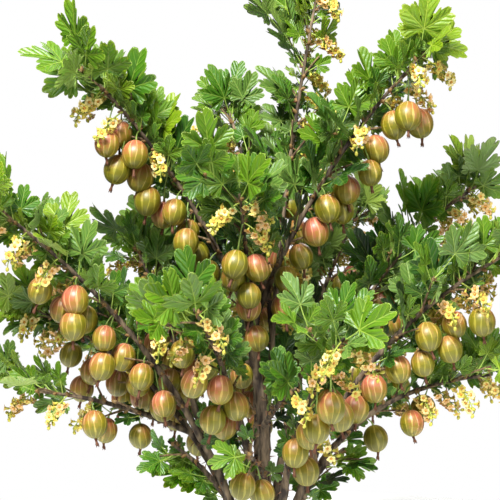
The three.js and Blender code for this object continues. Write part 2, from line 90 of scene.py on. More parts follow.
# name, parent, place on the parent, azimuth on the trunk's head, tip, bow, bare share
SHOOTS = [
    ("middle", None, None, None, (-14, -10, 306), 14, 1),
    ("upper_left", "middle", 0.98, None, (-156, -60, 530), 27, 0.13),
    ("upper_right", "middle", 0.93, None, (156, -50, 562), 36, 0.13),
    ("tall", "middle", 0.3, None, (58, 56, 636), 34, 0.38),
    ("left_high", None, None, 222, (-244, -70, 404), 69, 0.4),
    ("left_low", None, None, 186, (-236, 34, 310), 87, 0.44),
    ("right_high", None, None, 332, (242, -62, 372), 93, 0.4),
    ("right_low", None, None, 8, (226, -14, 246), 105, 0.44),
    ("right_back", None, None, 44, (226, 88, 434), 120, 0.42),
    ("back_left", None, None, 152, (-120, 186, 380), 70, 0.4),
    ("back_right", None, None, 80, (112, 196, 412), 75, 0.4),
    ("back", None, None, 116, (-8, 228, 318), 85, 0.42),
    ("front_left", None, None, 258, (-62, -168, 322), 60, 0.4),
    ("front_right", None, None, 295, (72, -172, 296), 60, 0.4),
    ("inner_left", "middle", 0.78, None, (-104, -84, 306), 12, 0.16),
    ("upper_back", "tall", 0.3, None, (-36, 96, 520), 25, 0.1),
    ("left_skirt", "left_low", 0.4, None, (-224, -44, 234), 14, 0.1),
    ("right_inner", "right_back", 0.31, None, (140, 12, 365), 15, 0.1),
    ("back_left_low", "back_left", 0.28, None, (-172, 128, 262), 35, 0.12),
    ("back_right_low", "back_right", 0.27, None, (178, 150, 280), 35, 0.12),
    ("crown_back", "middle", 0.84, None, (14, 140, 462), 30, 0.12),
    ("crown_front", "middle", 0.88, None, (-22, -92, 425), 18, 0.16),
    ("left_inner", "left_high", 0.3, None, (-128, 22, 374), 12, 0.1),
    ("spur_left", "middle", 0.32, None, (-16, -124, 186), 8, 0.2),
    ("spur_right", "middle", 0.54, None, (30, -128, 246), 8, 0.2),
    ("foot_left", "left_low", 0.18, None, (-92, -30, 182), 8, 0.14),
    ("foot_right", "right_low", 0.2, None, (80, -36, 176), 8, 0.14),
]
MIDDLE_RADII = (6.8, 4.8)

NODE_SPACING = 25
GOLDEN_TURN = 2.39996
TWIG_EVERY = 4
TWIG_LENGTH = (34, 52)
TWIG_RADII = (1.3, 0.8)
END_SPARE = 5
TIP_LEAVES = 5
BUD_LEAVES = 3
TIP_LIFT = 0.8  # how far the leaves at a tip lean along it
BUD_LIFT = 0.2
ROOT_STEP = 2.5
# spacing: least distance between two blades' middles; scale: width over a whole leaf's
LEAF_RULE = {"tries": 7, "spacing": 27, "scale": (1, 1)}
STEM_VIEW = 5
IN_VIEW = ("middle", "upper_left", "upper_right", "left_high", "left_low", "right_high", "right_low")
LEAF_WIDTH = (28, 46)
LEAF_STALK = (16, 32)
BACK_HALF = 110
LEAF_BLADE = 0.92
LEAF_EDGE = ((0, 0.06), (0.32, 0.5), (0.54, 0.28))
LEAF_MIDDLE = 0.42

BERRY_RADIUS = 13
BERRY_LENGTH = 14.5
BERRY_DROP = (21, 27)
BERRY_OUT = (8, 15)
# spacing: between two berries' middles; share: of a radius, kept inside the mass's space; step: how much
# lower each berry of one bud hangs than the last; further: past the fruited share of the mass; floor: the
# least height of a berry
BERRY_RULE = {"tries": 8, "spacing": 26.8, "share": 0.5, "step": 3, "further": 0, "floor": 0}
BERRY_ZONE = 0.76
BERRIES_PER_BUD = 3

TRUSS_LENGTH = (38, 50)
TRUSS_RADIUS = 7
TRUSS_WIDEST = 0.62
TRUSS_SPACING = 27
TRUSS_ZONE = 0.6
TRUSS_EVERY = 3
TRUSS_TRIES = 3
TRUSS_FLOOR = 200

VIEW_LENGTH = 60
VIEW_RADIUS = 10
NEAR = 80

SPACE_MARGIN = 3
LIMB_CLEARANCE = 1.6
AXIS_SAMPLES = 9
TWIG_KEYS, TIP_KEY = 60, 90  # numbers of the buds at the twigs' tips and at the stem's tip
SEED = 20

# ---- driving dimensions of the finer growth

FINE_KEYS, FINE_TWIG_KEYS = 30, 120  # first numbers of the finer buds and of those at the fine twigs' tips
FINE_LEAVES = 5  # more leaves at each tip and bud
FINE_BUD_LIFT = 0.3
FINE_LEAF_RULE = {"tries": 6, "spacing": 14, "scale": (0.42, 0.86)}
FINE_TWIG = 0.62  # length of a fine twig over a side twig's
FINE_BERRIES = 2  # more berries at each bud
FINE_BERRY_RULE = {"tries": 16, "spacing": 24, "share": 0, "step": 6, "further": 0.06, "floor": 196}
LAST_TRUSSES = 3  # the last finer buds of a mass may each bear a truss
BERRY_SIZE = (0.9, 1.03)

BLADE_STEP = 3  # degrees round the blade from one edge point to the next
SMALL_BLADE_STEP = 4.5
SMALL_BLADE = 24  # a blade narrower than this has the small step and no side veins
BLADE_SPREAD = 129  # degrees from the midrib to the blade's last edge point
TOOTH_CUT = 0.11
TOOTH_SWELL = (-1, -0.15, 0.3, 0.4, 0.3, -0.15)  # how far a tooth's points stand out, as shares of the cut
LOBE_TURN = 50  # degrees from one lobe's axis to the next
# Each lobe ends in a circle: its axis in degrees, and the circle's distance from the end of the stalk
# and its radius as shares of the blade's length.
LOBES = [
    (0, 0.69, 0.26),
    (LOBE_TURN, 0.54, 0.235),
    (-LOBE_TURN, 0.54, 0.235),
    (2 * LOBE_TURN, 0.32, 0.17),
    (-2 * LOBE_TURN, 0.32, 0.17),
]
BLADE_HEART = 0.1  # reach of the blade behind the end of its stalk
SIDE_VEIN_STEP = 0.19  # between the side veins along a lobe's main vein
SIDE_VEIN_SLOPE = 1.8  # how far a side vein runs forward for each step out
PUFF = 0.0006  # metres that the blade rises between its veins
BLADE_SHAPES = 6  # different outlines dealt out among the leaves
BLADE_GAP = 0.4  # between a leaf's upper and lower sheets
MARGIN = 0.03  # width of a blade's pale margin, a painted rim highlight, as a share of the way to its edge
MARGIN_RISE, VEIN_RISE = 0.12, 0.3  # over the upper sheet
INNER_RING = 0.55  # where a blade's inner ring of points lies, as a share of the way to its edge
# Places along a main vein, as shares of it, with its half widths there, and the half widths of a side
# vein's ends. Half widths are shares of the blade's length.
MAIN_VEIN = [(0, 0.014), (INNER_RING * 0.5, 0.012), (INNER_RING, 0.01), (0.8, 0.007), (1, 0.003)]
SIDE_VEIN = (0.006, 0.003)
# The least and the spread of a blade's pleat, fold, cup and nod.
BENDS = [(0.09, 0.08), (-0.06, 0.3), (0, 0.22), (-0.05, 0.3)]
# How much a leaf's place on its stem, its way out in the crown (darker inside, as painted shade), its spray
# and its own chance count towards its tint.
TINT_SHARES = (0.2, 0.42, 0.28, 0.24)

BERRY_VEINS = 12
BERRY_ROWS = 15
BERRY_SHAPES = 6
VEIN_SHARES = (0.26, 0.12)  # of a berry's sector taken by a broad vein and by the thin one beside it
VEIN_SWELL = 0.5  # how much a vein's width comes and goes along it
VEIN_SWAY = 0.06  # radians that a vein strays to each side
BERRY_STALK = (0.9, 0.7, 0.65, 0.65, 0.8, 1.3)  # its radii from the twig to the berry
TAIL_LENGTH = 7.5
TAIL_MOUTH = 0.85
TAIL = [(-0.1, 1.9), (0.15, 1.4), (0.5, 1.1), (TAIL_MOUTH, 1.8), (1, 1.2)]  # shares of its length, and radii
# How many skins a berry goes through from its shaded side, darkened as painted shade, to the sun, from
# unripe to ripe and from one streak to the next, and how many of the first steps still leave it green.
SUN_SKINS, RIPE_SKINS, STREAK_SKINS, GREEN_SKINS = 5.8, 3.6, 1.2, 3

BARK_STEP = 3
BARK_SIDES = 12
BARK_RELIEF = 0.075  # of a limb's radius
BUD_SWELL = 0.16  # of a limb's radius, at each bud
LIMB_WANDER = 0.25  # of a limb's radius that its middle strays to each side
TRUNK_ROWS, TRUNK_SIDES = 44, 120
TWIG_BARK = (1.35, 0.8)
TRUNK_RELIEF = 0.02  # of the trunk's radius, like the cracks' depth
CRACKS, CRACK_DEPTH, CRACK_LEAN = 23, 0.012, 0.16  # the lean is in radians for each millimetre of height
SPUR = [(0, 1.9), (2.4, 2.1), (4.4, 1.5), (5.6, 0.4)]  # distances from its start, and radii
THORN_LENGTH = (5, 9)
THORN_STEP = 9
THORN_RADII = (0.75, 0.4, 0.05)

TRUSS_STEPS = 18
TRUSS_FLOWERS = 17
FLOWER_SIZE = (0.8, 1.02)
END_BUDS = 3  # flowers at a truss's end that are still in bud
FIFTH_TURN = 1.257
# Distances from their starts, and radii, in a flower of size 1.
BELL = [(-0.4, 0.5), (0.9, 1.5), (2.2, 1.2), (4.4, 2.0)]
THROAT = [(-1, 1.9), (0.5, 1.3)]
FLOWER_BUD = [(0, 0.7), (1.5, 1.7), (3.4, 1.6), (4.6, 0.4)]
# Reach, half width and rise of a petal's rows, and reach and rise of its point, in a flower of size 1.
PETAL_ROWS = [(1.5, 1.0, -0.2), (2.9, 2.0, 0.7), (4.1, 1.6, 0.9)]
PETAL_POINT = (4.9, 0.6)

VIEW_DISTANCE = 1.6
VIEW_WIDTH = 0.5
VIEW_MIDDLE = (-0.012, 0.37)
VIEW_HEIGHT = 0.42
FLOOR_RADIUS, FLOOR_DROP, FLOOR_SIDES = 700, 0.4, 96
# name, place and size in metres, power in watts
LAMPS = [
    ("key", (-0.5, -1.4, 2.0), 0.6, 136),
    ("fill", (1.4, -1.2, 0.9), 1.2, 17),
    ("rim", (0.3, 1.6, 1.6), 1.2, 26),
]
LAMPS_AIM = (0, 0, 0.35)
ROOM_LIGHT = 0.22

# ---- seeded chance and vectors


def chance(*keys):
    """A number from 0 to 1 that depends only on its keys. The last key tells one choice from another."""
    value = SEED
    for key in keys:
        value = ((value ^ ((key + 0x9E3779B9) & MASK)) * 0x85EBCA6B) & MASK
        value ^= value >> 13
    value = (value * 0xC2B2AE35) & MASK
    value ^= value >> 16
    return value / 4294967296


def luck(item, *keys):
    """The chance of one leaf, berry or truss."""
    return chance(*item.keys, *keys)


def between(ends, share):
    return ends[0] + (ends[1] - ends[0]) * share


def unit(vector):
    return vector / math.sqrt(vector @ vector)


def square_to(a, b):
    """The part of a that is square to b, as a unit vector."""
    return unit(a - b * (a @ b) / (b @ b))


def turned(vector, axis, angle):
    """vector turned about a unit axis."""
    across = np.cross(axis, vector)
    along = axis * (axis @ vector) * (1 - math.cos(angle))
    return vector * math.cos(angle) + across * math.sin(angle) + along


def outward_from(point):
    away = np.array([point[0], point[1], 0.0])
    return unit(away) if away @ away > 1 else FRONT.copy()


def segments(*lines):
    """Starts and ends of the segments of lines of points."""
    return np.concatenate([line[:-1] for line in lines]), np.concatenate([line[1:] for line in lines])


def distances(points, starts, ends):
    """From each point to each segment."""
    run = ends - starts
    offset = points[:, None] - starts[None]
    share = np.clip((offset * run).sum(2) / (run * run).sum(1), 0, 1)
    return np.linalg.norm(offset - share[..., None] * run, axis=2)


# ---- shoots


class Shoot:
    """A planar arc from its start to its tip: a bare bough first, then the stem of a mass."""

    def __init__(self, index, spec, made):
        name, parent, place, azimuth, tip, bow, bare = spec
        self.name, self.index, self.bare = name, index, bare
        self.parent = made.get(parent)
        radii = SIDE_RADII if parent else STEM_RADII
        self.radii = MIDDLE_RADII if name == "middle" else radii
        self.start = self.parent.point(place) if parent else head_point(azimuth)
        self.tip = np.array(tip, float)
        chord = self.tip - self.start
        rise = square_to(UP, chord)
        self.control = (self.start + self.tip) / 2 + rise * bow
        self.side = unit(np.cross(chord, rise))
        self.bough_line = self.line(0, bare)
        self.mass_line = self.line(bare, 1)
        self.whole_line = self.line(0, 1)
        self.length = np.linalg.norm(np.diff(self.whole_line, axis=0), axis=1).sum()

    def point(self, t):
        return self.start * (1 - t) ** 2 + self.control * (2 * t * (1 - t)) + self.tip * t**2

    def line(self, first, last):
        return np.array([self.point(between((first, last), t)) for t in np.linspace(0, 1, AXIS_SAMPLES)])

    def heading(self, t):
        return unit(self.start * (t - 1) + self.control * (1 - 2 * t) + self.tip * t)

    def radius(self, t):
        return between(self.radii, t)


def head_point(azimuth):
    """Where a main stem starts, sunk in the trunk's head."""
    ring = 0 if azimuth is None else STEM_RING
    angle = math.radians(azimuth or 0)
    x = TRUNK_LEAN[0] + ring * math.cos(angle)
    y = TRUNK_LEAN[1] + ring * math.sin(angle)
    return np.array([x, y, TRUNK_HEIGHT - SUNK])


def make_shoots():
    made = {}
    for index, spec in enumerate(SHOOTS):
        made[spec[0]] = Shoot(index, spec, made)
    return list(made.values())


shoots = make_shoots()
masses = [shoot for shoot in shoots if shoot.bare < 1]
mass_segments = segments(*[mass.mass_line for mass in masses])
bough_segments = segments(*[shoot.bough_line for shoot in shoots])
bough_radii = np.repeat([shoot.radius(0) for shoot in shoots], AXIS_SAMPLES - 1)
mass_nodes = ["mass_" + shoot.name for shoot in masses]

# ---- the rule of growth


def in_own_space(shoot, centres, radius):
    """True if every ball is nearer to this mass's stem than to any other's."""
    to_masses = distances(centres, *mass_segments)
    to_masses = to_masses.reshape(len(centres), len(masses), -1).min(2)
    own = masses.index(shoot)
    others = np.delete(to_masses, own, axis=1).min(1)
    return bool((others > to_masses[:, own] + SPACE_MARGIN + 2 * radius).all())


def clear_of_boughs(points, reach):
    if points[:, 2].min() < TRUNK_HEIGHT + reach:
        return False
    gaps = distances(points, *bough_segments) - bough_radii
    return bool(gaps.min() > LIMB_CLEARANCE + reach)


def clear_of_berries(points, berries, distance):
    if not berries:
        return True
    centres = np.array([berry.centre for berry in berries])
    gaps = np.linalg.norm(points[:, None] - centres[None], axis=2)
    return bool(gaps.min() > distance)


def leaves_in_view(points, shown):
    """True if the points stand clear of the way to each berry and truss from outside and from the front."""
    if not shown:
        return True
    starts = np.array([item.spot for item in shown] * 2)
    outward = np.array([outward_from(item.spot) for item in shown])
    ways = np.vstack([outward, np.broadcast_to(FRONT, outward.shape)])
    return bool(distances(points, starts, starts + ways * VIEW_LENGTH).min() > VIEW_RADIUS)


def beside_line(points, line, depth):
    """True if the points stand beside a line, or behind a depth, as seen from the front."""
    level = np.array([1, 0, 1])
    before = points[points[:, 1] <= depth] * level
    return not len(before) or bool(distances(before, *segments(line * level)).min() > STEM_VIEW)


def stems_in_view(leaf, points):
    """True if a leaf hides neither its own mass's stem nor one of the limbs in view."""
    own = leaf.shoot
    others = [shoot for shoot in shoots if shoot is not own and shoot.name in IN_VIEW]
    return beside_line(points, own.mass_line, leaf.root[1]) and all(
        beside_line(points, other.whole_line, other.point(0.5)[1]) for other in others
    )


def fits(shoot, points):
    return in_own_space(shoot, points, 0) and clear_of_boughs(points, 0)


def bud_at(shoot, key, place, heading, share, radius):
    turn = key * GOLDEN_TURN + chance(shoot.index, key, 1)
    across = square_to(shoot.side, heading)
    over = np.cross(heading, across)
    return SimpleNamespace(
        key=key,
        place=place,
        heading=heading,
        share=share,
        radius=radius,
        outward=outward_from(place),
        radial=across * math.cos(turn) + over * math.sin(turn),
    )


def stem_buds(shoot, first_key, offset):
    """Buds along a mass's stem. offset is how far into its step each one sits."""
    count = max(2, int(shoot.length * (1 - shoot.bare) / NODE_SPACING + 0.5))
    buds = []
    for i in range(count):
        share = (i + offset) / count
        t = between((shoot.bare, 1), min(share, 1))
        bud = bud_at(shoot, first_key + i, shoot.point(t), shoot.heading(t), share, shoot.radius(t))
        buds.append(bud)
    return buds


def tip_bud(shoot):
    last = 1 - END_SPARE / shoot.length
    return bud_at(shoot, TIP_KEY, shoot.point(last), shoot.heading(1), 1, STEM_RADII[1])


def side_twigs(shoot, buds, scale):
    twigs = [side_twig(shoot, bud, scale) for bud in buds]
    return [twig for twig in twigs if twig]


def side_twig(shoot, bud, scale):
    heading = bud.radial * 0.8 + bud.heading * 0.5 + UP * 0.3 + bud.outward * 0.3
    heading = unit(heading)
    length = between(TWIG_LENGTH, chance(shoot.index, bud.key, 2)) * scale
    to = bud.place + heading * length
    end = to + heading * END_SPARE
    twig = SimpleNamespace(root=bud.place, to=to, end=end, heading=heading)
    return twig if fits(shoot, np.array([end, (bud.place + end) / 2])) else None


def berry_at(shoot, bud, slot, berries, rule):
    for attempt in range(rule["tries"]):
        keys = (shoot.index, bud.key, slot, attempt)
        turn = (chance(*keys, 11) - 0.5) * math.pi * 1.3
        out = turned(bud.outward, UP, turn + slot * 1.9)
        reach = between(BERRY_OUT, chance(*keys, 12))
        drop = between(BERRY_DROP, chance(*keys, 13)) + slot * rule["step"]
        centre = bud.place + out * reach - UP * drop
        spot = centre[None]
        own_line = distances(spot, *segments(shoot.mass_line)).min()
        free = (
            clear_of_berries(spot, berries, rule["spacing"])
            and clear_of_boughs(spot, BERRY_RADIUS)
            and own_line > BERRY_RADIUS + shoot.radius(shoot.bare)
            and in_own_space(shoot, spot, rule["share"] * BERRY_RADIUS)
        )
        if free:
            hang = unit(out * (0.1 + 0.25 * chance(*keys, 14)) - UP)
            return SimpleNamespace(bud=bud, centre=centre, spot=centre, hang=hang, keys=keys)
    return None


def leaf_at(shoot, bud, slot, attempt, lift, scale):
    keys = (shoot.index, bud.key, slot, attempt)
    turn = slot * 2.5 + attempt * 0.9 + 0.8 * (chance(*keys, 21) - 0.5)
    radial = turned(bud.radial, bud.heading, turn)
    along = unit(radial * 0.75 + UP * 0.5 + bud.heading * lift + bud.outward * 0.1)
    stray = np.array([chance(*keys, 22) - 0.5, chance(*keys, 23) - 0.5, chance(*keys, 24) - 0.5])
    light = FRONT if bud.place[1] < BACK_HALF else bud.outward
    facing = UP * 0.45 + light * 0.7 + bud.outward * 0.5 + stray * 1.2
    width = between(LEAF_WIDTH, chance(*keys, 25))
    stalk = between(LEAF_STALK, chance(*keys, 26)) * (0.6 + width / LEAF_WIDTH[1] / 2)
    root = bud.place - bud.heading * slot * ROOT_STEP
    leaf = SimpleNamespace(
        shoot=shoot,
        bud=bud,
        keys=keys,
        root=root,
        along=along,
        normal=square_to(unit(facing), along),
        width=width * scale,
        stalk=stalk * scale,
    )
    leaf.middle = root + along * (leaf.stalk + LEAF_MIDDLE * leaf.width * LEAF_BLADE)
    return leaf


def leaf_points(leaf):
    """The points of a leaf that have to keep to its space."""
    across = np.cross(leaf.normal, leaf.along)
    length = leaf.width * LEAF_BLADE

    def at(share, side):
        along = leaf.stalk + share * length
        return leaf.root + leaf.along * along + across * (side * leaf.width)

    right = [at(share, side) for share, side in LEAF_EDGE]
    left = [at(share, -side) for share, side in reversed(LEAF_EDGE)]
    outline = [*right, at(1, 0), *left]
    halfway = [(p + outline[(i + 1) % len(outline)]) / 2 for i, p in enumerate(outline)]
    inner = [(leaf.root + leaf.middle) / 2, leaf.middle]
    return np.array(outline + halfway + inner)


def leaf_fits(leaf, berries, trusses, leaves, spacing):
    if leaves:
        middles = np.array([other.middle for other in leaves])
        if np.linalg.norm(middles - leaf.middle, axis=1).min() < spacing:
            return False
    points = leaf_points(leaf)
    inner = len(points) - 2  # the point halfway along the stalk
    if not stems_in_view(leaf, np.delete(points, inner, axis=0)):
        return False
    near = [b for b in berries if np.linalg.norm(b.spot - leaf.root) < NEAR]
    shown = near + [t for t in trusses if np.linalg.norm(t.spot - leaf.root) < NEAR]
    if not (fits(leaf.shoot, points) and clear_of_berries(points, near, BERRY_LENGTH + 0.5)):
        return False
    return leaves_in_view(points, shown)


def truss_at(shoot, bud, attempt):
    keys = (shoot.index, bud.key, attempt)
    out = turned(bud.outward, UP, (chance(*keys, 31) - 0.5) * math.pi)
    along = unit(out * 0.85 - UP * 0.6)
    length = between(TRUSS_LENGTH, chance(*keys, 32))
    spot = bud.place + along * length * TRUSS_WIDEST
    return SimpleNamespace(shoot=shoot, root=bud.place, spot=spot, along=along, length=length, keys=keys)


def truss_fits(truss, berries, trusses):
    if truss.root[2] < TRUSS_FLOOR:
        return False
    shares = (0.4, 0.7, 1)
    points = np.array([truss.root + truss.along * truss.length * s for s in shares])
    room = BERRY_LENGTH + TRUSS_RADIUS
    if not (fits(truss.shoot, points) and clear_of_berries(points, berries, room)):
        return False
    spots = [np.linalg.norm(other.spot - truss.spot) for other in trusses]
    return min(spots, default=TRUSS_SPACING) >= TRUSS_SPACING


class Growth:
    """What grows on one mass."""

    def __init__(self, shoot):
        self.shoot = shoot
        self.buds = stem_buds(shoot, 0, 0.6)
        self.twigs = side_twigs(shoot, self.buds[1::TWIG_EVERY], 1)
        self.leaves = []

    def add_leaves(self, buds, slots, lift, fruit, rule):
        for bud in buds:
            for slot in slots:
                self.add_leaf(bud, slot, lift, fruit, rule)

    def add_leaf(self, bud, slot, lift, fruit, rule):
        scale = between(rule["scale"], chance(self.shoot.index, bud.key, slot, 27))
        for attempt in range(rule["tries"]):
            leaf = leaf_at(self.shoot, bud, slot, attempt, lift, scale)
            if leaf_fits(leaf, *fruit, self.leaves, rule["spacing"]):
                self.leaves.append(leaf)
                return

    def add_berries(self, buds, slots, berries, rule):
        zone = FRUITED.get(self.shoot.name, BERRY_ZONE) + rule["further"]
        for bud in [bud for bud in buds if bud.share < zone]:
            for slot in slots:
                berry = berry_at(self.shoot, bud, slot, berries, rule)
                if berry and berry.centre[2] > rule["floor"]:
                    berries.append(berry)

    def add_truss(self, bud, fruit):
        for attempt in range(TRUSS_TRIES):
            truss = truss_at(self.shoot, bud, attempt)
            if truss_fits(truss, *fruit):
                fruit[1].append(truss)
                return

    def end_buds(self, twigs, first_key):
        return [
            bud_at(self.shoot, first_key + i, twig.to, twig.heading, 1, TWIG_RADII[1])
            for i, twig in enumerate(twigs)
        ]


def grow():
    """All that the CAD's rule grows: the growths, and (berries, trusses)."""
    growths = [Growth(shoot) for shoot in masses]
    fruit = [], []
    for growth in growths:
        growth.add_berries(growth.buds, range(BERRIES_PER_BUD), fruit[0], BERRY_RULE)
    for growth in growths:
        growth.add_truss(tip_bud(growth.shoot), fruit)
        for i, bud in enumerate(growth.buds):
            if bud.share > TRUSS_ZONE or i % TRUSS_EVERY == 1:
                growth.add_truss(bud, fruit)
    for growth in growths:
        growth.ends = [tip_bud(growth.shoot), *growth.end_buds(growth.twigs, TWIG_KEYS)]
        growth.add_leaves(growth.ends, range(TIP_LEAVES), TIP_LIFT, fruit, LEAF_RULE)
        growth.add_leaves(growth.buds, range(BUD_LEAVES), BUD_LIFT, fruit, LEAF_RULE)
    return growths, fruit


def grow_finer(growths, fruit):
    """Carries the same rule on to finer buds and twigs. A leaf that would hide a later berry goes."""
    slots = range(BERRIES_PER_BUD, BERRIES_PER_BUD + FINE_BERRIES)
    for growth in growths:
        growth.fine_buds = stem_buds(growth.shoot, FINE_KEYS, 0.1)
        growth.add_berries(growth.fine_buds + growth.buds, slots, fruit[0], FINE_BERRY_RULE)
    for growth in growths:
        for bud in growth.fine_buds[::TRUSS_EVERY] + growth.fine_buds[-LAST_TRUSSES:]:
            growth.add_truss(bud, fruit)
    tip_slots = range(TIP_LEAVES, TIP_LEAVES + FINE_LEAVES)
    bud_slots = range(BUD_LEAVES, BUD_LEAVES + FINE_LEAVES)
    for growth in growths:
        growth.leaves = [leaf for leaf in growth.leaves if leaf_fits(leaf, *fruit, [], 0)]
        growth.fine_twigs = side_twigs(growth.shoot, growth.fine_buds, FINE_TWIG)
        tips = growth.ends + growth.end_buds(growth.fine_twigs, FINE_TWIG_KEYS)
        growth.add_leaves(tips, tip_slots, TIP_LIFT, fruit, FINE_LEAF_RULE)
        growth.add_leaves(growth.fine_buds + growth.buds, bud_slots, FINE_BUD_LIFT, fruit, FINE_LEAF_RULE)


growths, fruit = grow()
grow_finer(growths, fruit)
berries, trusses = fruit

# ---- materials


def linear(colour):
    """A colour of 0 to 255 as the shaders' linear light."""
    shares = [channel / 255 for channel in colour]
    return [s / 12.92 if s <= 0.04045 else ((s + 0.055) / 1.055) ** 2.4 for s in shares]


def mixed(colour, other, share):
    return [between(ends, share) for ends in zip(colour, other)]


def feed(tree, socket, value):
    """Links a node's input to another node's output, or sets it to a plain value."""
    if isinstance(value, bpy.types.NodeSocket):
        tree.links.new(value, socket)
    else:
        socket.default_value = value


def fill(tree, node, **inputs):
    for name, value in inputs.items():
        feed(tree, node.inputs[name.replace("_", " ")], value)


def node_of(tree, kind, **inputs):
    node = tree.nodes.new("ShaderNode" + kind)
    fill(tree, node, **inputs)
    return node


def plain_material(name, colour, **inputs):
    """A material of one plain base colour."""
    material = bpy.data.materials.new(name)
    material.use_nodes = True
    tree = material.node_tree
    fill(tree, tree.nodes["Principled BSDF"], Base_Color=(*linear(colour), 1), **inputs)
    return material


def material_of(name, colour, scale=600, strength=0.2, distance=0.0003, rough=(0.4, 0.6), **inputs):
    """A plain colour with fine relief and uneven roughness, both from noise in the plant's own space."""
    material = plain_material(name, colour, **inputs)
    tree = material.node_tree
    place = node_of(tree, "TexCoord").outputs["Object"]
    fine = node_of(tree, "TexNoise", Vector=place, Scale=scale, Detail=3).outputs["Fac"]
    broad = node_of(tree, "TexNoise", Vector=place, Scale=scale / 6, Detail=2).outputs["Fac"]
    bump = node_of(tree, "Bump", Strength=strength, Distance=distance, Height=fine).outputs["Normal"]
    spread = node_of(tree, "MapRange", To_Min=rough[0], To_Max=rough[1], Value=broad).outputs["Result"]
    fill(tree, tree.nodes["Principled BSDF"], Normal=bump, Roughness=spread)
    return material


def blade_puff(tree):
    """Height of a blade between its veins, from its own flat coordinates: low on a vein, 1 between two."""

    def compute(operation, *values):
        """One step of arithmetic on sockets and numbers."""
        node = node_of(tree, "Math")
        node.operation = operation
        for socket, value in zip(node.inputs, values):
            feed(tree, socket, value)
        return node.outputs[0]

    place = node_of(tree, "TexCoord").outputs["UV"]
    flat = node_of(tree, "Mapping", Vector=place, Location=(-1, -1, 0), Scale=(2, 2, 1)).outputs["Vector"]
    split = node_of(tree, "SeparateXYZ", Vector=flat)
    x, y = split.outputs["X"], split.outputs["Y"]
    half_turn = math.radians(LOBE_TURN / 2)
    turn = compute("WRAP", compute("ARCTAN2", x, y), half_turn, -half_turn)
    reach = compute("SQRT", compute("ADD", compute("MULTIPLY", x, x), compute("MULTIPLY", y, y)))
    along = compute("MULTIPLY", reach, compute("COSINE", turn))
    off = compute("ABSOLUTE", compute("MULTIPLY", reach, compute("SINE", turn)))
    row = compute("MULTIPLY_ADD", off, -SIDE_VEIN_SLOPE, along)
    stray = node_of(tree, "TexNoise", Vector=flat, Scale=4, Detail=2).outputs["Fac"]
    row = compute("MULTIPLY_ADD", stray, SIDE_VEIN_STEP, row)
    rise = compute("PINGPONG", compute("DIVIDE", row, SIDE_VEIN_STEP), 0.5)
    rise = compute("POWER", compute("MULTIPLY", rise, 2), 0.75)
    groove = compute("MINIMUM", compute("DIVIDE", off, 0.05), 1)
    return compute("MULTIPLY", rise, groove)


def leaf_material(name, colour, glow, puff):
    """A leaf's skin, puffed between the veins, which lets some light through."""
    looks = {"Subsurface_Weight": glow, "Subsurface_Scale": 0.002, "Subsurface_Radius": (0.5, 1, 0.2)}
    material = material_of(name, colour, 900, 0.25, 0.0004, (0.32, 0.52), **looks)
    tree = material.node_tree
    shader = tree.nodes["Principled BSDF"]
    fine = shader.inputs["Normal"].links[0].from_socket
    veined = node_of(tree, "Bump", Strength=1, Distance=puff, Height=blade_puff(tree), Normal=fine)
    fill(tree, shader, Normal=veined.outputs["Normal"])
    return material


def berry_material(name, colour):
    """A berry's thin skin over its pale flesh."""
    looks = {"Subsurface_Weight": 0.3, "Subsurface_Scale": 0.003, "Subsurface_Radius": (1, 0.8, 0.3)}
    looks |= {"Coat_Weight": 0.2, "Coat_Roughness": 0.3}
    return material_of(name, colour, 500, 0.06, 0.0003, (0.4, 0.56), **looks)


def bark_material(name, dark, light, grain):
    """Bark in two browns along the grain, rough, with long low ridges."""
    material = plain_material(name, dark, Roughness=0.85)
    tree = material.node_tree
    place = node_of(tree, "TexCoord").outputs["Object"]
    stretch = node_of(tree, "Mapping", Vector=place, Scale=(1, 1, 0.22)).outputs["Vector"]
    noise = node_of(tree, "TexNoise", Vector=stretch, Scale=grain, Detail=8).outputs["Fac"]
    ramp = node_of(tree, "ValToRGB", Fac=noise)
    for element, position, colour in zip(ramp.color_ramp.elements, (0.4, 0.68), (dark, light)):
        element.position = position
        element.color = (*linear(colour), 1)
    bump = node_of(tree, "Bump", Strength=0.9, Distance=0.0016, Height=noise).outputs["Normal"]
    fill(tree, tree.nodes["Principled BSDF"], Base_Color=ramp.outputs["Color"], Normal=bump)
    return material


# The tint of a leaf's upper side and how much light it lets through.
LEAF_TINTS = {
    "young": ((106, 134, 14), 0.22),
    "fresh": ((80, 116, 10), 0.18),
    # a blue-grey green, a painted reflection of the sky on glossy leaves
    "sky_sheen": ((84, 116, 44), 0.12),
    "green": ((58, 100, 12), 0.15),
    # the darkest tints, for leaves inside the crown, are partly their deeper green and partly painted shade
    "deep": ((36, 74, 10), 0.1),
    "shade": ((18, 46, 8), 0.05),
}
LEAF_TINT_STEPS = [("young", 0.91), ("fresh", 0.73), ("green", 0.55), ("deep", 0.42)]
SKY_SHEEN_SHARE = 0.16  # share of the leaves with a blue-grey tint, a painted reflection of the sky
CROWN = (250, 230, 260, 330)  # half widths and half height of the crown, and the height of its middle
UNDERSIDE = (166, 184, 122)
VEIN = (208, 218, 112)
UNDERSIDE_PALENESS = 0.45  # how far a leaf's underside is from its upper side to that pale green
VEIN_PALENESS = 0.34
# From shade to sun: a berry's skin and its paler vein. The dark olive of the shaded side is unripe green
# darkened as painted shade; the rose towards the sun is the real blush.
SKINS = [
    ((108, 104, 6), (148, 140, 46)),
    ((124, 112, 12), (166, 150, 62)),
    ((136, 112, 26), (178, 152, 78)),
    ((148, 105, 42), (188, 148, 94)),
    ((160, 97, 56), (196, 144, 102)),
    ((170, 92, 66), (202, 142, 108)),
]
FLOWER_TINTS = {
    "throat": (206, 146, 54),
    "cream": (224, 202, 118),
    "peach": (230, 190, 130),
    "yellow": (210, 192, 86),
    "pale": (234, 218, 146),
}

# ---- meshes


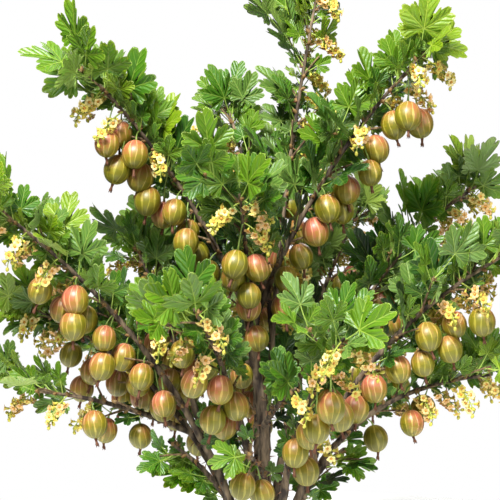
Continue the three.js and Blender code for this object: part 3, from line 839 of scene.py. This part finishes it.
class Heap:
    """Vertices and triangles of one piece, gathered from many small parts."""

    def __init__(self):
        self.points = []
        self.faces = []
        self.slots = []
        self.flats = []
        self.count = 0

    def add(self, points, faces, slot=0, flat=None):
        points = np.asarray(points, float).reshape(-1, 3)
        faces = np.asarray(faces, int).reshape(-1, 3)
        self.points.append(points)
        self.faces.append(faces + self.count)
        self.slots.append(np.broadcast_to(slot, len(faces)))
        self.flats.append(np.zeros((len(points), 2)) if flat is None else flat)
        self.count += len(points)

    def make(self, name, materials, nodes, finish):
        """The piece as a Blender object, in metres, which rides on the plant and replaces nodes."""
        points = np.concatenate(self.points) / 1000
        faces = np.concatenate(self.faces)
        mesh = bpy.data.meshes.new(name)
        mesh.vertices.add(len(points))
        mesh.vertices.foreach_set("co", points.ravel())
        mesh.loops.add(faces.size)
        mesh.loops.foreach_set("vertex_index", faces.ravel())
        mesh.polygons.add(len(faces))
        mesh.polygons.foreach_set("loop_start", np.arange(len(faces)) * 3)
        mesh.polygons.foreach_set("material_index", np.concatenate(self.slots))
        mesh.update(calc_edges=True)
        mesh.shade_smooth()
        flats = np.concatenate(self.flats)
        if flats.any():
            layer = mesh.uv_layers.new(name="blade")
            layer.data.foreach_set("uv", (flats[faces.ravel()] / 2 + 0.5).ravel())
        for material in materials:
            mesh.materials.append(material)
        piece = add_object(name, mesh)
        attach(piece, "root")
        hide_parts(*nodes)


def add_object(name, data):
    """A Blender object with the data of a mesh, camera or lamp, in the scene."""
    thing = bpy.data.objects.new(name, data)
    bpy.context.scene.collection.objects.link(thing)
    return thing


def ladder(rows, sides):
    """Triangles between rows of points, each row a ring."""
    faces = []
    for row in range(rows - 1):
        for side in range(sides):
            a = row * sides + side
            b = row * sides + (side + 1) % sides
            faces += [(a, b, b + sides), (a, b + sides, a + sides)]
    return np.array(faces)


def skin_over(rings, tip=None):
    """Points and triangles of a skin over rings, closed by a fan where there is a tip."""
    rows, sides = rings.shape[:2]
    points, faces = rings.reshape(-1, 3), ladder(rows, sides)
    if tip is not None:
        last = (rows - 1) * sides
        fan = [(last + side, last + (side + 1) % sides, len(points)) for side in range(sides)]
        points, faces = np.vstack([points, tip]), np.vstack([faces, fan])
    return points, faces


def even_angles(sides):
    return np.arange(sides) / sides * 2 * math.pi


def spokes(first, second, angles):
    """Unit ways at the angles from one way to another that is square to it."""
    return first * np.cos(angles)[..., None] + second * np.sin(angles)[..., None]


def tube(path, radii, sides, closed_end=True):
    """A tapering tube through the points of a path."""
    path = np.asarray(path, float)
    radii = np.broadcast_to(radii, len(path))
    heading = np.gradient(path, axis=0)
    heading /= np.linalg.norm(heading, axis=1)[:, None]
    seed = RIGHT if abs(heading[0][0]) < 0.8 else UP
    first = seed - heading * (heading @ seed)[:, None]
    first /= np.linalg.norm(first, axis=1)[:, None]
    second = np.cross(heading, first)
    ways = spokes(first[:, None], second[:, None], even_angles(sides))
    rings = path[:, None] + ways * radii[:, None, None]
    return skin_over(rings, path[-1] if closed_end else None)


def spindle(start, way, profile, sides, size=1, closed_end=True):
    """A straight tube along a way. profile lists distances from the start, and the radii there."""
    reaches, radii = zip(*profile)
    path = [start + way * size * reach for reach in reaches]
    return tube(path, np.array(radii) * size, sides, closed_end)


def curve(start, control, end, steps):
    """Points along a quadratic curve."""
    t = np.linspace(0, 1, steps)[:, None]
    return start * (1 - t) ** 2 + control * (2 * t * (1 - t)) + end * t**2


# ---- bark


def ripple(angle, along, seed):
    """Smooth seeded unevenness round and along a limb, from -1 to 1."""
    total = np.zeros(np.broadcast(angle, along).shape)
    for i in range(5):
        turns = 1 + int(chance(seed, i, 41) * 4)
        pitch = 0.05 + 0.35 * chance(seed, i, 42)
        phase = chance(seed, i, 43) * 7
        total += np.sin(turns * angle + pitch * along * (1 if i % 2 else -1) + phase)
    return total / 5


def limb_mesh(shoot):
    """A shoot's whole woody length, with ridges, and a swelling at each bud."""
    rows = max(8, int(shoot.length / BARK_STEP))
    shares = np.linspace(0, 1, rows)
    centres = np.array([shoot.point(t) for t in shares])
    headings = np.array([shoot.heading(t) for t in shares])
    along = shares * shoot.length
    spacing = shoot.length / max(2, int(shoot.length / NODE_SPACING + 0.5))
    swell = 1 + BUD_SWELL * np.exp(-(((along % spacing) - spacing / 2) ** 2) / 6)
    radii = np.array([shoot.radius(t) for t in shares]) * swell
    angles = even_angles(BARK_SIDES)
    relief = 1 + BARK_RELIEF * ripple(angles[None], along[:, None], shoot.index)
    first = np.array([square_to(shoot.side, heading) for heading in headings])
    second = np.cross(headings, first)
    wander = np.stack([ripple(along, 0 * along, shoot.index + 50 + k) for k in range(2)], axis=1)
    fade = np.sin(np.pi * shares)[:, None] * shoot.radius(0.5) * LIMB_WANDER
    middles = centres + first * wander[:, :1] * fade + second * wander[:, 1:] * fade
    ways = spokes(first[:, None], second[:, None], angles)
    rings = middles[:, None] + ways * (radii[:, None] * relief)[..., None]
    return skin_over(rings, centres[-1] + headings[-1] * 2)


def trunk_mesh():
    """The short trunk with its root flare, ribbed under each main stem."""
    angles = even_angles(TRUNK_SIDES)
    heights = np.linspace(0, TRUNK_HEIGHT + 1, TRUNK_ROWS)[:, None]
    rise = np.clip(heights / TRUNK_HEIGHT, 0, 1)
    flare = np.exp(-heights / FLARE_HEIGHT)
    head = np.clip((rise - 0.1) / 0.8, 0, 1)
    head = head * head * (3 - 2 * head)
    root = ROOT_SWELL * flare * np.cos(ROOTS * angles)
    rib = RIB_SWELL * rise * np.cos(RIBS * angles)
    rib = np.where(rib < 0, rib * FURROW_DEPTH, rib)
    base = WAIST_RADIUS + (FOOT_RADIUS - WAIST_RADIUS) * flare + (HEAD_RADIUS - WAIST_RADIUS) * head
    cracks = CRACK_DEPTH * np.sin(CRACKS * angles + heights * CRACK_LEAN)
    ridges = TRUNK_RELIEF * ripple(angles * 3, heights, 70) + cracks
    radius = base * (1 + root + rib + ridges)
    dome = np.clip(heights - TRUNK_HEIGHT + 3, 0, None) ** 2 * 0.18
    x = TRUNK_LEAN[0] * rise + (radius - dome) * np.cos(angles)
    y = TRUNK_LEAN[1] * rise + (radius - dome) * np.sin(angles)
    rings = np.stack([x, y, np.broadcast_to(heights, x.shape)], axis=2)
    points, faces = skin_over(rings, [*TRUNK_LEAN, TRUNK_HEIGHT + 1.5])
    sole = [((side + 1) % TRUNK_SIDES, side, len(points)) for side in range(TRUNK_SIDES)]
    return np.vstack([points, [0, 0, 0]]), np.vstack([faces, sole])


def make_wood():
    bark = bark_material("peeling_bark", (38, 27, 18), (128, 110, 86), 190)
    trunk = Heap()
    trunk.add(*trunk_mesh())
    trunk.make("trunk_bark", [bark], ["trunk"], "bark")
    limbs = Heap()
    for shoot in shoots:
        limbs.add(*limb_mesh(shoot))
    limbs.make("bough_bark", [bark], ["bough_" + shoot.name for shoot in shoots], "bark")


def make_twigs():
    """Side twigs, and the thorns and bud scales on the stems."""
    twig_bark = bark_material("twig_bark", (70, 50, 32), (140, 118, 82), 260)
    scale_skin = material_of("bud_scales", (124, 96, 52), 700, 0.4, 0.0005, (0.6, 0.85))
    thorn_skin = material_of("thorns", (122, 78, 50), rough=(0.4, 0.65))
    heap = Heap()
    for growth in growths:
        for twig in growth.twigs + growth.fine_twigs:
            bend = (twig.root + twig.end) / 2 + UP * 1.5
            path = curve(twig.root, bend, twig.end, 6)
            heap.add(*tube(path, np.linspace(*TWIG_BARK, 6), 6), 0)
        for bud in growth.buds + growth.fine_buds + growth.ends:
            add_bud(heap, growth.shoot, bud)
    for shoot in shoots:
        add_bough_thorns(heap, shoot)
    heap.make("twigs", [twig_bark, scale_skin, thorn_skin], mass_nodes, "bark")


def add_bud(heap, shoot, bud):
    """A short scaly spur, and one to three thorns under it."""
    along = unit(bud.radial + bud.heading * 0.7)
    start = bud.place + bud.radial * bud.radius * 0.4
    heap.add(*spindle(start, along, SPUR, 5), 1)
    for i in range(1 + int(chance(shoot.index, bud.key, 51) * 2.6)):
        way = turned(bud.radial, bud.heading, (i - 1) * 0.9 + 0.3)
        add_thorn(heap, bud.place, way, bud.heading, bud.radius, (shoot.index, bud.key, i))


def add_bough_thorns(heap, shoot):
    """Scattered thorns on the bare length of a bough."""
    count = int(shoot.length * shoot.bare / THORN_STEP)
    for i in range(count):
        t = shoot.bare * (i + chance(shoot.index, i, 52)) / count
        heading = shoot.heading(t)
        way = turned(square_to(shoot.side, heading), heading, i * GOLDEN_TURN)
        if shoot.point(t)[2] > TRUNK_HEIGHT + 6:
            add_thorn(heap, shoot.point(t), way, heading, shoot.radius(t), (shoot.index, i, 53))


def add_thorn(heap, place, way, heading, radius, keys):
    length = between(THORN_LENGTH, chance(*keys, 54))
    start = place + way * radius * 0.7
    end = start + unit(way + heading * (chance(*keys, 55) - 0.4) * 0.8) * length
    heap.add(*tube([start, (start + end) / 2, end], THORN_RADII, 4, False), 2)


# ---- leaves


def blade_edge(shape, step):
    """Angles and reaches of a blade's toothed outline. Each shape has its own lobes."""
    angles = np.radians(np.arange(-BLADE_SPREAD, BLADE_SPREAD + 1, step))
    reach = np.full(len(angles), BLADE_HEART)
    for i, (axis, distance, radius) in enumerate(LOBES):
        size = 1 + 0.14 * (chance(shape, i, 61) - 0.5)
        off = angles - math.radians(axis)
        inside = radius**2 - (distance * np.sin(off)) ** 2
        lobe = distance * np.cos(off) + np.sqrt(np.maximum(inside, 0))
        reach = np.maximum(reach, np.where(inside > 0, lobe * size, 0))
    swell = np.resize(TOOTH_SWELL, len(angles))
    depth = TOOTH_CUT * (0.6 + 0.8 * np.array([chance(shape, i, 63) for i in range(len(angles))]))
    reach *= 1 + swell * depth
    reach[[0, -1]] = BLADE_HEART
    return angles, reach


def blade_height(x, y, pleat, fold, cup, nod):
    """Height of a blade over its flat: pleated between the veins, folded, cupped and nodding."""
    angle = np.arctan2(x, y)
    reach = np.hypot(x, y)
    bulge = np.abs(np.sin(angle * 180 / LOBE_TURN))
    return pleat * bulge * reach + fold * np.abs(x) - cup * reach**2 - nod * np.clip(y, 0, None) ** 2


def strip(start, end, widths):
    """A flat ribbon in the blade's plane between two points: its corners, then its triangles."""
    run = end - start
    side = np.array([run[1], -run[0]]) / np.hypot(*run)
    near, far = side * widths[0], side * widths[1]
    return np.array([start - near, start + near, end - far, end + far]), np.array([(0, 1, 2), (1, 3, 2)])


def blade_shape(shape, step):
    """A flat blade: points, triangles, which rings rise over the lower sheet, the painted-highlight rim, the
    veins.
    """
    angles, reach = blade_edge(shape, step)
    edge = np.stack([np.sin(angles) * reach, np.cos(angles) * reach], axis=1)
    inner = edge[::2] * INNER_RING
    count, half = len(edge), len(inner)
    points = np.vstack([[[0, 0]], inner, edge])
    faces = [(0, i + 2, i + 1) for i in range(half - 1)]
    for i in range(half - 1):
        a, b = 1 + i, 2 + i
        c = 1 + half + 2 * i
        faces += [(a, c + 1, c), (a, b, c + 1), (b, c + 2, c + 1)]
    at_edge = np.concatenate([np.zeros(1 + half), np.ones(count)])
    rim = np.vstack([edge * (1 - MARGIN), edge])
    rim_faces = np.array([(i, i + 1, i + count) for i in range(count - 1)])
    rim_faces = np.vstack([rim_faces, rim_faces[:, ::-1] + [count, 0, 1]])
    return points, np.array(faces), at_edge, rim, rim_faces, *blade_veins(angles, reach, step)


def side_vein(axis, start, side, angles, reach):
    """Points of a side vein that leaves a lobe's main vein at start, as far as it stays on the lobe."""
    way = np.array([math.sin(axis), math.cos(axis)])
    across = np.array([math.cos(axis), -math.sin(axis)]) * side
    out = np.linspace(0, 0.6, 31)[:, None]
    points = way * start + (way * SIDE_VEIN_SLOPE + across) * out
    aims = np.arctan2(points[:, 0], points[:, 1])
    on_blade = np.hypot(points[:, 0], points[:, 1]) < np.interp(aims, angles, reach) * 0.93
    on_lobe = np.abs(aims - axis) < math.radians(LOBE_TURN / 2)
    stays = np.cumprod(on_blade & on_lobe).astype(bool)
    return points[stays]


def blade_veins(angles, reach, step):
    """Main veins out to each lobe, and side veins off them where the blade isn't small."""
    points, faces = [], []
    ribs = []
    for degrees, *_ in LOBES:
        axis = math.radians(degrees)
        length = np.interp(axis, angles, reach) * 0.95
        way = np.array([math.sin(axis), math.cos(axis)])
        for (near, wide), (far, narrow) in zip(MAIN_VEIN, MAIN_VEIN[1:]):
            ribs.append((way * length * near, way * length * far, (wide, narrow)))
        side_veins = length - 0.05 if step < SMALL_BLADE_STEP else 0
        for start in np.arange(2 * SIDE_VEIN_STEP, side_veins, SIDE_VEIN_STEP):
            for side in (-1, 1):
                vein = side_vein(axis, start, side, angles, reach)
                if len(vein) > 2:
                    ribs.append((vein[0], vein[-1], SIDE_VEIN))
    for rib in ribs:
        corners, rib_faces = strip(*rib)
        faces.append(rib_faces + 4 * len(points))
        points.append(corners)
    return np.vstack(points), np.vstack(faces)


def place_blade(flat, leaf, bend, height):
    """Points of a blade in the plant's space."""
    x, y = flat[:, 0], flat[:, 1]
    size = leaf.width * LEAF_BLADE
    z = blade_height(x, y, *bend) * size + height
    across = np.cross(leaf.along, leaf.normal)
    base = leaf.root + leaf.along * leaf.stalk
    plane = across * (x * size)[:, None] + leaf.along * (y * size)[:, None]
    return base + plane + leaf.normal * z[:, None]


def leaf_tint(leaf):
    """Young leaves sit at the tips; inner ones are darker, deeper green and painted shade; each spray has a
    bent.
    """
    spray = chance(leaf.keys[0], leaf.keys[1], 71)
    own = luck(leaf, 72)
    middle = leaf.middle
    out = math.hypot(middle[0] / CROWN[0], middle[1] / CROWN[1], (middle[2] - CROWN[3]) / CROWN[2])
    place = leaf.bud.share
    tint_parts = (place, min(out, 1.1), spray, own)
    lightness = sum(part * share for part, share in zip(tint_parts, TINT_SHARES))
    # some leaves outside the darkest shade take the blue-grey tint of a painted sky reflection
    if luck(leaf, 78) < SKY_SHEEN_SHARE and lightness > LEAF_TINT_STEPS[-1][1]:
        return "sky_sheen"
    for tint, least in LEAF_TINT_STEPS:
        if lightness > least:
            return tint
    return "shade"


def make_leaves():
    shapes = [blade_shape(shape, BLADE_STEP) for shape in range(BLADE_SHAPES)]
    small_shapes = [blade_shape(shape, SMALL_BLADE_STEP) for shape in range(BLADE_SHAPES)]
    heaps = {tint: Heap() for tint in LEAF_TINTS}
    stalks = Heap()
    for leaf in [leaf for growth in growths for leaf in growth.leaves]:
        choice = shapes if leaf.width > SMALL_BLADE else small_shapes
        add_blade(heaps[leaf_tint(leaf)], leaf, choice[int(luck(leaf, 73) * BLADE_SHAPES)])
        base = leaf.root + leaf.along * (leaf.stalk + 0.5)
        sag = (leaf.root + base) / 2 - UP * 0.08 * leaf.stalk
        stalks.add(*tube(curve(leaf.root, sag, base, 4), [0.85, 0.6, 0.55, 0.6], 5, False))
    for tint, heap in heaps.items():
        colour, glow = LEAF_TINTS[tint]
        upper = leaf_material("leaf_" + tint, colour, glow, PUFF)
        below = mixed(colour, UNDERSIDE, UNDERSIDE_PALENESS)
        under = leaf_material("underside_" + tint, below, 0.15, -PUFF)
        vein = material_of("veins_" + tint, mixed(colour, VEIN, VEIN_PALENESS), 800, 0.1, 0.0002)
        heap.make("leaves_" + tint, [upper, under, vein], mass_nodes, "foliage")
    stalks.make("leaf_stalks", [material_of("leaf_stalks", (146, 172, 74))], mass_nodes, "foliage")


def add_blade(heap, leaf, shape):
    """A leaf's upper and lower sheets, which meet at the edge, and its veins on both."""
    points, faces, at_edge, rim, rim_faces, vein_points, vein_faces = shape
    bend = [least + spread * luck(leaf, 74 + i) for i, (least, spread) in enumerate(BENDS)]
    heap.add(place_blade(points, leaf, bend, 0), faces, 0, points)
    heap.add(place_blade(points, leaf, bend, (at_edge - 1) * BLADE_GAP), faces[:, ::-1], 1, points)
    # a pale rim in the veins' colour, a painted rim highlight
    heap.add(place_blade(rim, leaf, bend, MARGIN_RISE), rim_faces, 2)
    heap.add(place_blade(vein_points, leaf, bend, VEIN_RISE), vein_faces, 2)


# ---- berries


def berry_columns(shape):
    """Angles round a berry, row by row. Each sector is an uneven vein and the two panels beside it."""
    sector = 2 * math.pi / BERRY_VEINS
    rows = np.arange(BERRY_ROWS)
    columns = []
    for vein in range(BERRY_VEINS):
        phase, beat = 7 * chance(shape, vein, 90), 7 * chance(shape, vein, 96)
        middle = vein * sector + VEIN_SWAY * np.sin(0.7 * rows + phase)
        half = VEIN_SHARES[vein % 2] * sector / 2 * (1 + VEIN_SWELL * np.sin(1.1 * rows + beat))
        columns += [middle - half, middle + half, np.full(BERRY_ROWS, (vein + 0.5) * sector)]
    return np.stack(columns, axis=1)


def make_berries():
    shapes = [berry_columns(shape) for shape in range(BERRY_SHAPES)]
    sides = 3 * BERRY_VEINS
    is_vein = np.arange(sides) % 3 == 0
    tilt = np.linspace(0.12, math.pi - 0.1, BERRY_ROWS)
    faces = ladder(BERRY_ROWS, sides)
    column = np.repeat(np.tile(np.arange(sides), BERRY_ROWS - 1), 2)
    row = np.repeat(np.arange(BERRY_ROWS - 1), 2 * sides)
    heap, trims = Heap(), Heap()
    for berry in berries:
        size = between(BERRY_SIZE, luck(berry, 81))
        down = berry.hang
        first = square_to(RIGHT, down)
        second = np.cross(down, first)
        spin = luck(berry, 82) * 2 * math.pi
        angles = shapes[int(luck(berry, 97) * BERRY_SHAPES)] + spin
        ways = spokes(first, second, angles)
        girth = BERRY_RADIUS * size * np.sin(tilt)
        drop = -BERRY_LENGTH * size * np.cos(tilt)
        points = berry.centre + down * drop[:, None, None] + ways * girth[:, None, None]
        # the sun sets both the real blush and the painted shade, darker on the side turned away from it
        sun = unit(
            berry.bud.outward * 0.2
            + UP * 0.9
            + RIGHT * (luck(berry, 83) - 0.6) * 1.5
            + FRONT * (luck(berry, 84) - 0.4) * 0.6
        )
        slots = skin_slots(berry, ways[0], tilt, down, sun, column, row, is_vein)
        heap.add(points, faces, slots)
        add_trim(trims, berry, size)
    skins = [berry_material("berry_skin_" + str(i), skin) for i, (skin, _) in enumerate(SKINS)]
    skins += [berry_material("berry_vein_" + str(i), vein) for i, (_, vein) in enumerate(SKINS)]
    heap.make("berries", skins, mass_nodes, "foliage")
    tail = material_of("berry_tails", (96, 58, 36), 900, 0.5, 0.0004, (0.7, 0.9))
    stalk = material_of("berry_stalks", (122, 146, 62), 700)
    trims.make("berry_tails_and_stalks", [tail, stalk], mass_nodes, "foliage")


def skin_slots(berry, ring, tilt, down, sun, column, row, is_vein):
    """Which skin each face has: darker green on the shaded side as painted shade, rose towards the sun."""
    ripeness = luck(berry, 85)
    middle_tilt = (tilt[row] + tilt[row + 1]) / 2
    normals = ring[column] * np.sin(middle_tilt)[:, None] - down * np.cos(middle_tilt)[:, None]
    sunward = normals @ sun * 0.5 + 0.5
    streak = np.array([luck(berry, side, 86) for side in range(len(ring))])
    level = sunward * SUN_SKINS + ripeness * RIPE_SKINS - GREEN_SKINS + (streak[column] - 0.5) * STREAK_SKINS
    slots = np.clip(level, 0, len(SKINS) - 1).astype(int)
    return slots + len(SKINS) * is_vein[column]


def add_trim(trims, berry, size):
    """A berry's stalk, and the dry tail of its flower."""
    down, centre = berry.hang, berry.centre
    top = centre - down * BERRY_LENGTH * size * 0.98
    bend = (berry.bud.place + top) / 2 + UP * 2 + berry.bud.outward * 2
    path = curve(berry.bud.place, bend, top, len(BERRY_STALK))
    trims.add(*tube(path, BERRY_STALK, 6), 1)
    foot = centre + down * BERRY_LENGTH * size * 0.97
    lean = unit(down + RIGHT * (luck(berry, 87) - 0.5) * 0.5)
    length = TAIL_LENGTH * (0.75 + 0.5 * luck(berry, 88))
    trims.add(*spindle(foot, lean * length, TAIL, 6), 0)
    side = square_to(RIGHT, lean)
    mouth = foot + lean * length * TAIL_MOUTH
    for i in range(5):
        way = turned(side, lean, i * FIFTH_TURN)
        tip = mouth + lean * 2.6 + way * 1.6
        trims.add(*tube([mouth + way * 0.9, tip], [0.8, 0.2], 3), 0)


# ---- blossom


def add_flower(heap, place, way, size, petal_slot, spin):
    """A small bell on its ovary, with five broad spreading lobes round a darker throat."""
    heap.add(*spindle(place, way, BELL, 6, size, False), 1)
    side = square_to(RIGHT + FRONT * 0.3, way)
    rim = place + way * size * BELL[-1][0]
    for i in range(5):
        out = turned(side, way, i * FIFTH_TURN + spin)
        cross = np.cross(way, out)
        points = []
        for reach, half, rise in PETAL_ROWS:
            spot = rim + (out * reach + way * rise) * size
            points += [spot - cross * half * size, spot + cross * half * size]
        points.append(rim + (out * PETAL_POINT[0] + way * PETAL_POINT[1]) * size)
        heap.add(points, [(0, 1, 3), (0, 3, 2), (2, 3, 5), (2, 5, 4), (4, 5, 6)], petal_slot)
    heap.add(*spindle(rim, way, THROAT, 6, size), 2)


def add_truss(heap, truss, petal_slot):
    """A drooping stalk with flowers on all sides, open first, and buds at its end."""
    start, along, length = truss.root, truss.along, truss.length
    bend = start + along * length * 0.5 + UP * length * 0.14
    end = start + along * length * 0.92 - UP * length * 0.06
    path = curve(start, bend, end, TRUSS_STEPS)
    heap.add(*tube(path, np.linspace(0.85, 0.5, TRUSS_STEPS), 5), 0)
    side = square_to(np.cross(along, UP), along)
    for i in range(TRUSS_FLOWERS):
        share = 0.26 + 0.74 * i / (TRUSS_FLOWERS - 1)
        spot = path[round(share * (TRUSS_STEPS - 1))]
        keys = (*truss.keys, i)
        way = turned(side, along, i * GOLDEN_TURN + chance(*keys, 91))
        way = unit(way + along * 0.4 - UP * 0.45)
        stem = spot + way * (1.8 + 1.8 * chance(*keys, 92))
        heap.add(*tube([spot, stem], [0.45, 0.5], 4, False), 0)
        if i < TRUSS_FLOWERS - END_BUDS:
            size = between(FLOWER_SIZE, chance(*keys, 93))
            add_flower(heap, stem, way, size, petal_slot + (i % 3 == 1), chance(*keys, 94))
        else:
            heap.add(*spindle(stem, way, FLOWER_BUD, 7), 1)


def make_blossom():
    materials = [material_of("truss_stalks", (152, 166, 68)), material_of("flower_bells", (184, 178, 66))]
    materials += [material_of("flower_" + name, tint, 700, 0.15) for name, tint in FLOWER_TINTS.items()]
    heap = Heap()
    for truss in trusses:
        petal_slot = 3 + int(luck(truss, 95) * 3)
        add_truss(heap, truss, petal_slot)
    heap.make("blossom", materials, mass_nodes, "foliage")


# ---- studio


def make_camera():
    data = bpy.data.cameras.new("view")
    data.sensor_width = 36
    data.lens = data.sensor_width * VIEW_DISTANCE / VIEW_WIDTH
    camera = add_object("view", data)
    drop = math.atan2(VIEW_HEIGHT - VIEW_MIDDLE[1], VIEW_DISTANCE)
    camera.location = (VIEW_MIDDLE[0], -VIEW_DISTANCE, VIEW_HEIGHT)
    camera.rotation_euler = (math.pi / 2 - drop, 0, 0)
    bpy.context.scene.camera = camera


def make_floor():
    centre = np.array([[0, 0, -FLOOR_DROP]])
    ring = centre + spokes(RIGHT, -FRONT, even_angles(FLOOR_SIDES)) * FLOOR_RADIUS
    mesh = bpy.data.meshes.new("floor")
    faces = [(i, (i + 1) % FLOOR_SIDES, FLOOR_SIDES) for i in range(FLOOR_SIDES)]
    mesh.from_pydata((np.vstack([ring, centre]) / 1000).tolist(), [], faces)
    mesh.materials.append(plain_material("floor_paper", (240, 240, 238), Roughness=0.9))
    floor = add_object("floor", mesh)


def make_lights():
    """A white studio: plain white behind the bush, softer light from all round, and three lamps."""
    world = bpy.data.worlds.new("studio")
    world.use_nodes = True
    tree = world.node_tree
    light = tree.nodes["Background"]
    fill(tree, light, Color=(1, 1, 0.97, 1), Strength=ROOM_LIGHT)
    seen = node_of(tree, "Background", Color=(1, 1, 1, 1))
    mix = node_of(tree, "MixShader", Fac=node_of(tree, "LightPath").outputs["Is Camera Ray"])
    tree.links.new(light.outputs["Background"], mix.inputs[1])
    tree.links.new(seen.outputs["Background"], mix.inputs[2])
    fill(tree, tree.nodes["World Output"], Surface=mix.outputs["Shader"])
    bpy.context.scene.world = world
    for lamp in LAMPS:
        add_lamp(*lamp)


def add_lamp(name, place, size, power):
    data = bpy.data.lights.new(name, "AREA")
    data.size = size
    data.energy = power
    lamp = add_object(name, data)
    lamp.location = place
    aim = np.array(LAMPS_AIM) - np.array(place)
    flat = math.hypot(aim[0], aim[1])
    lamp.rotation_euler = (math.atan2(flat, -aim[2]), 0, math.atan2(aim[1], aim[0]) - math.pi / 2)


make_camera()
make_wood()
make_twigs()
make_leaves()
make_berries()
make_blossom()
make_floor()
make_lights()
bpy.context.scene.view_settings.view_transform = "Standard"
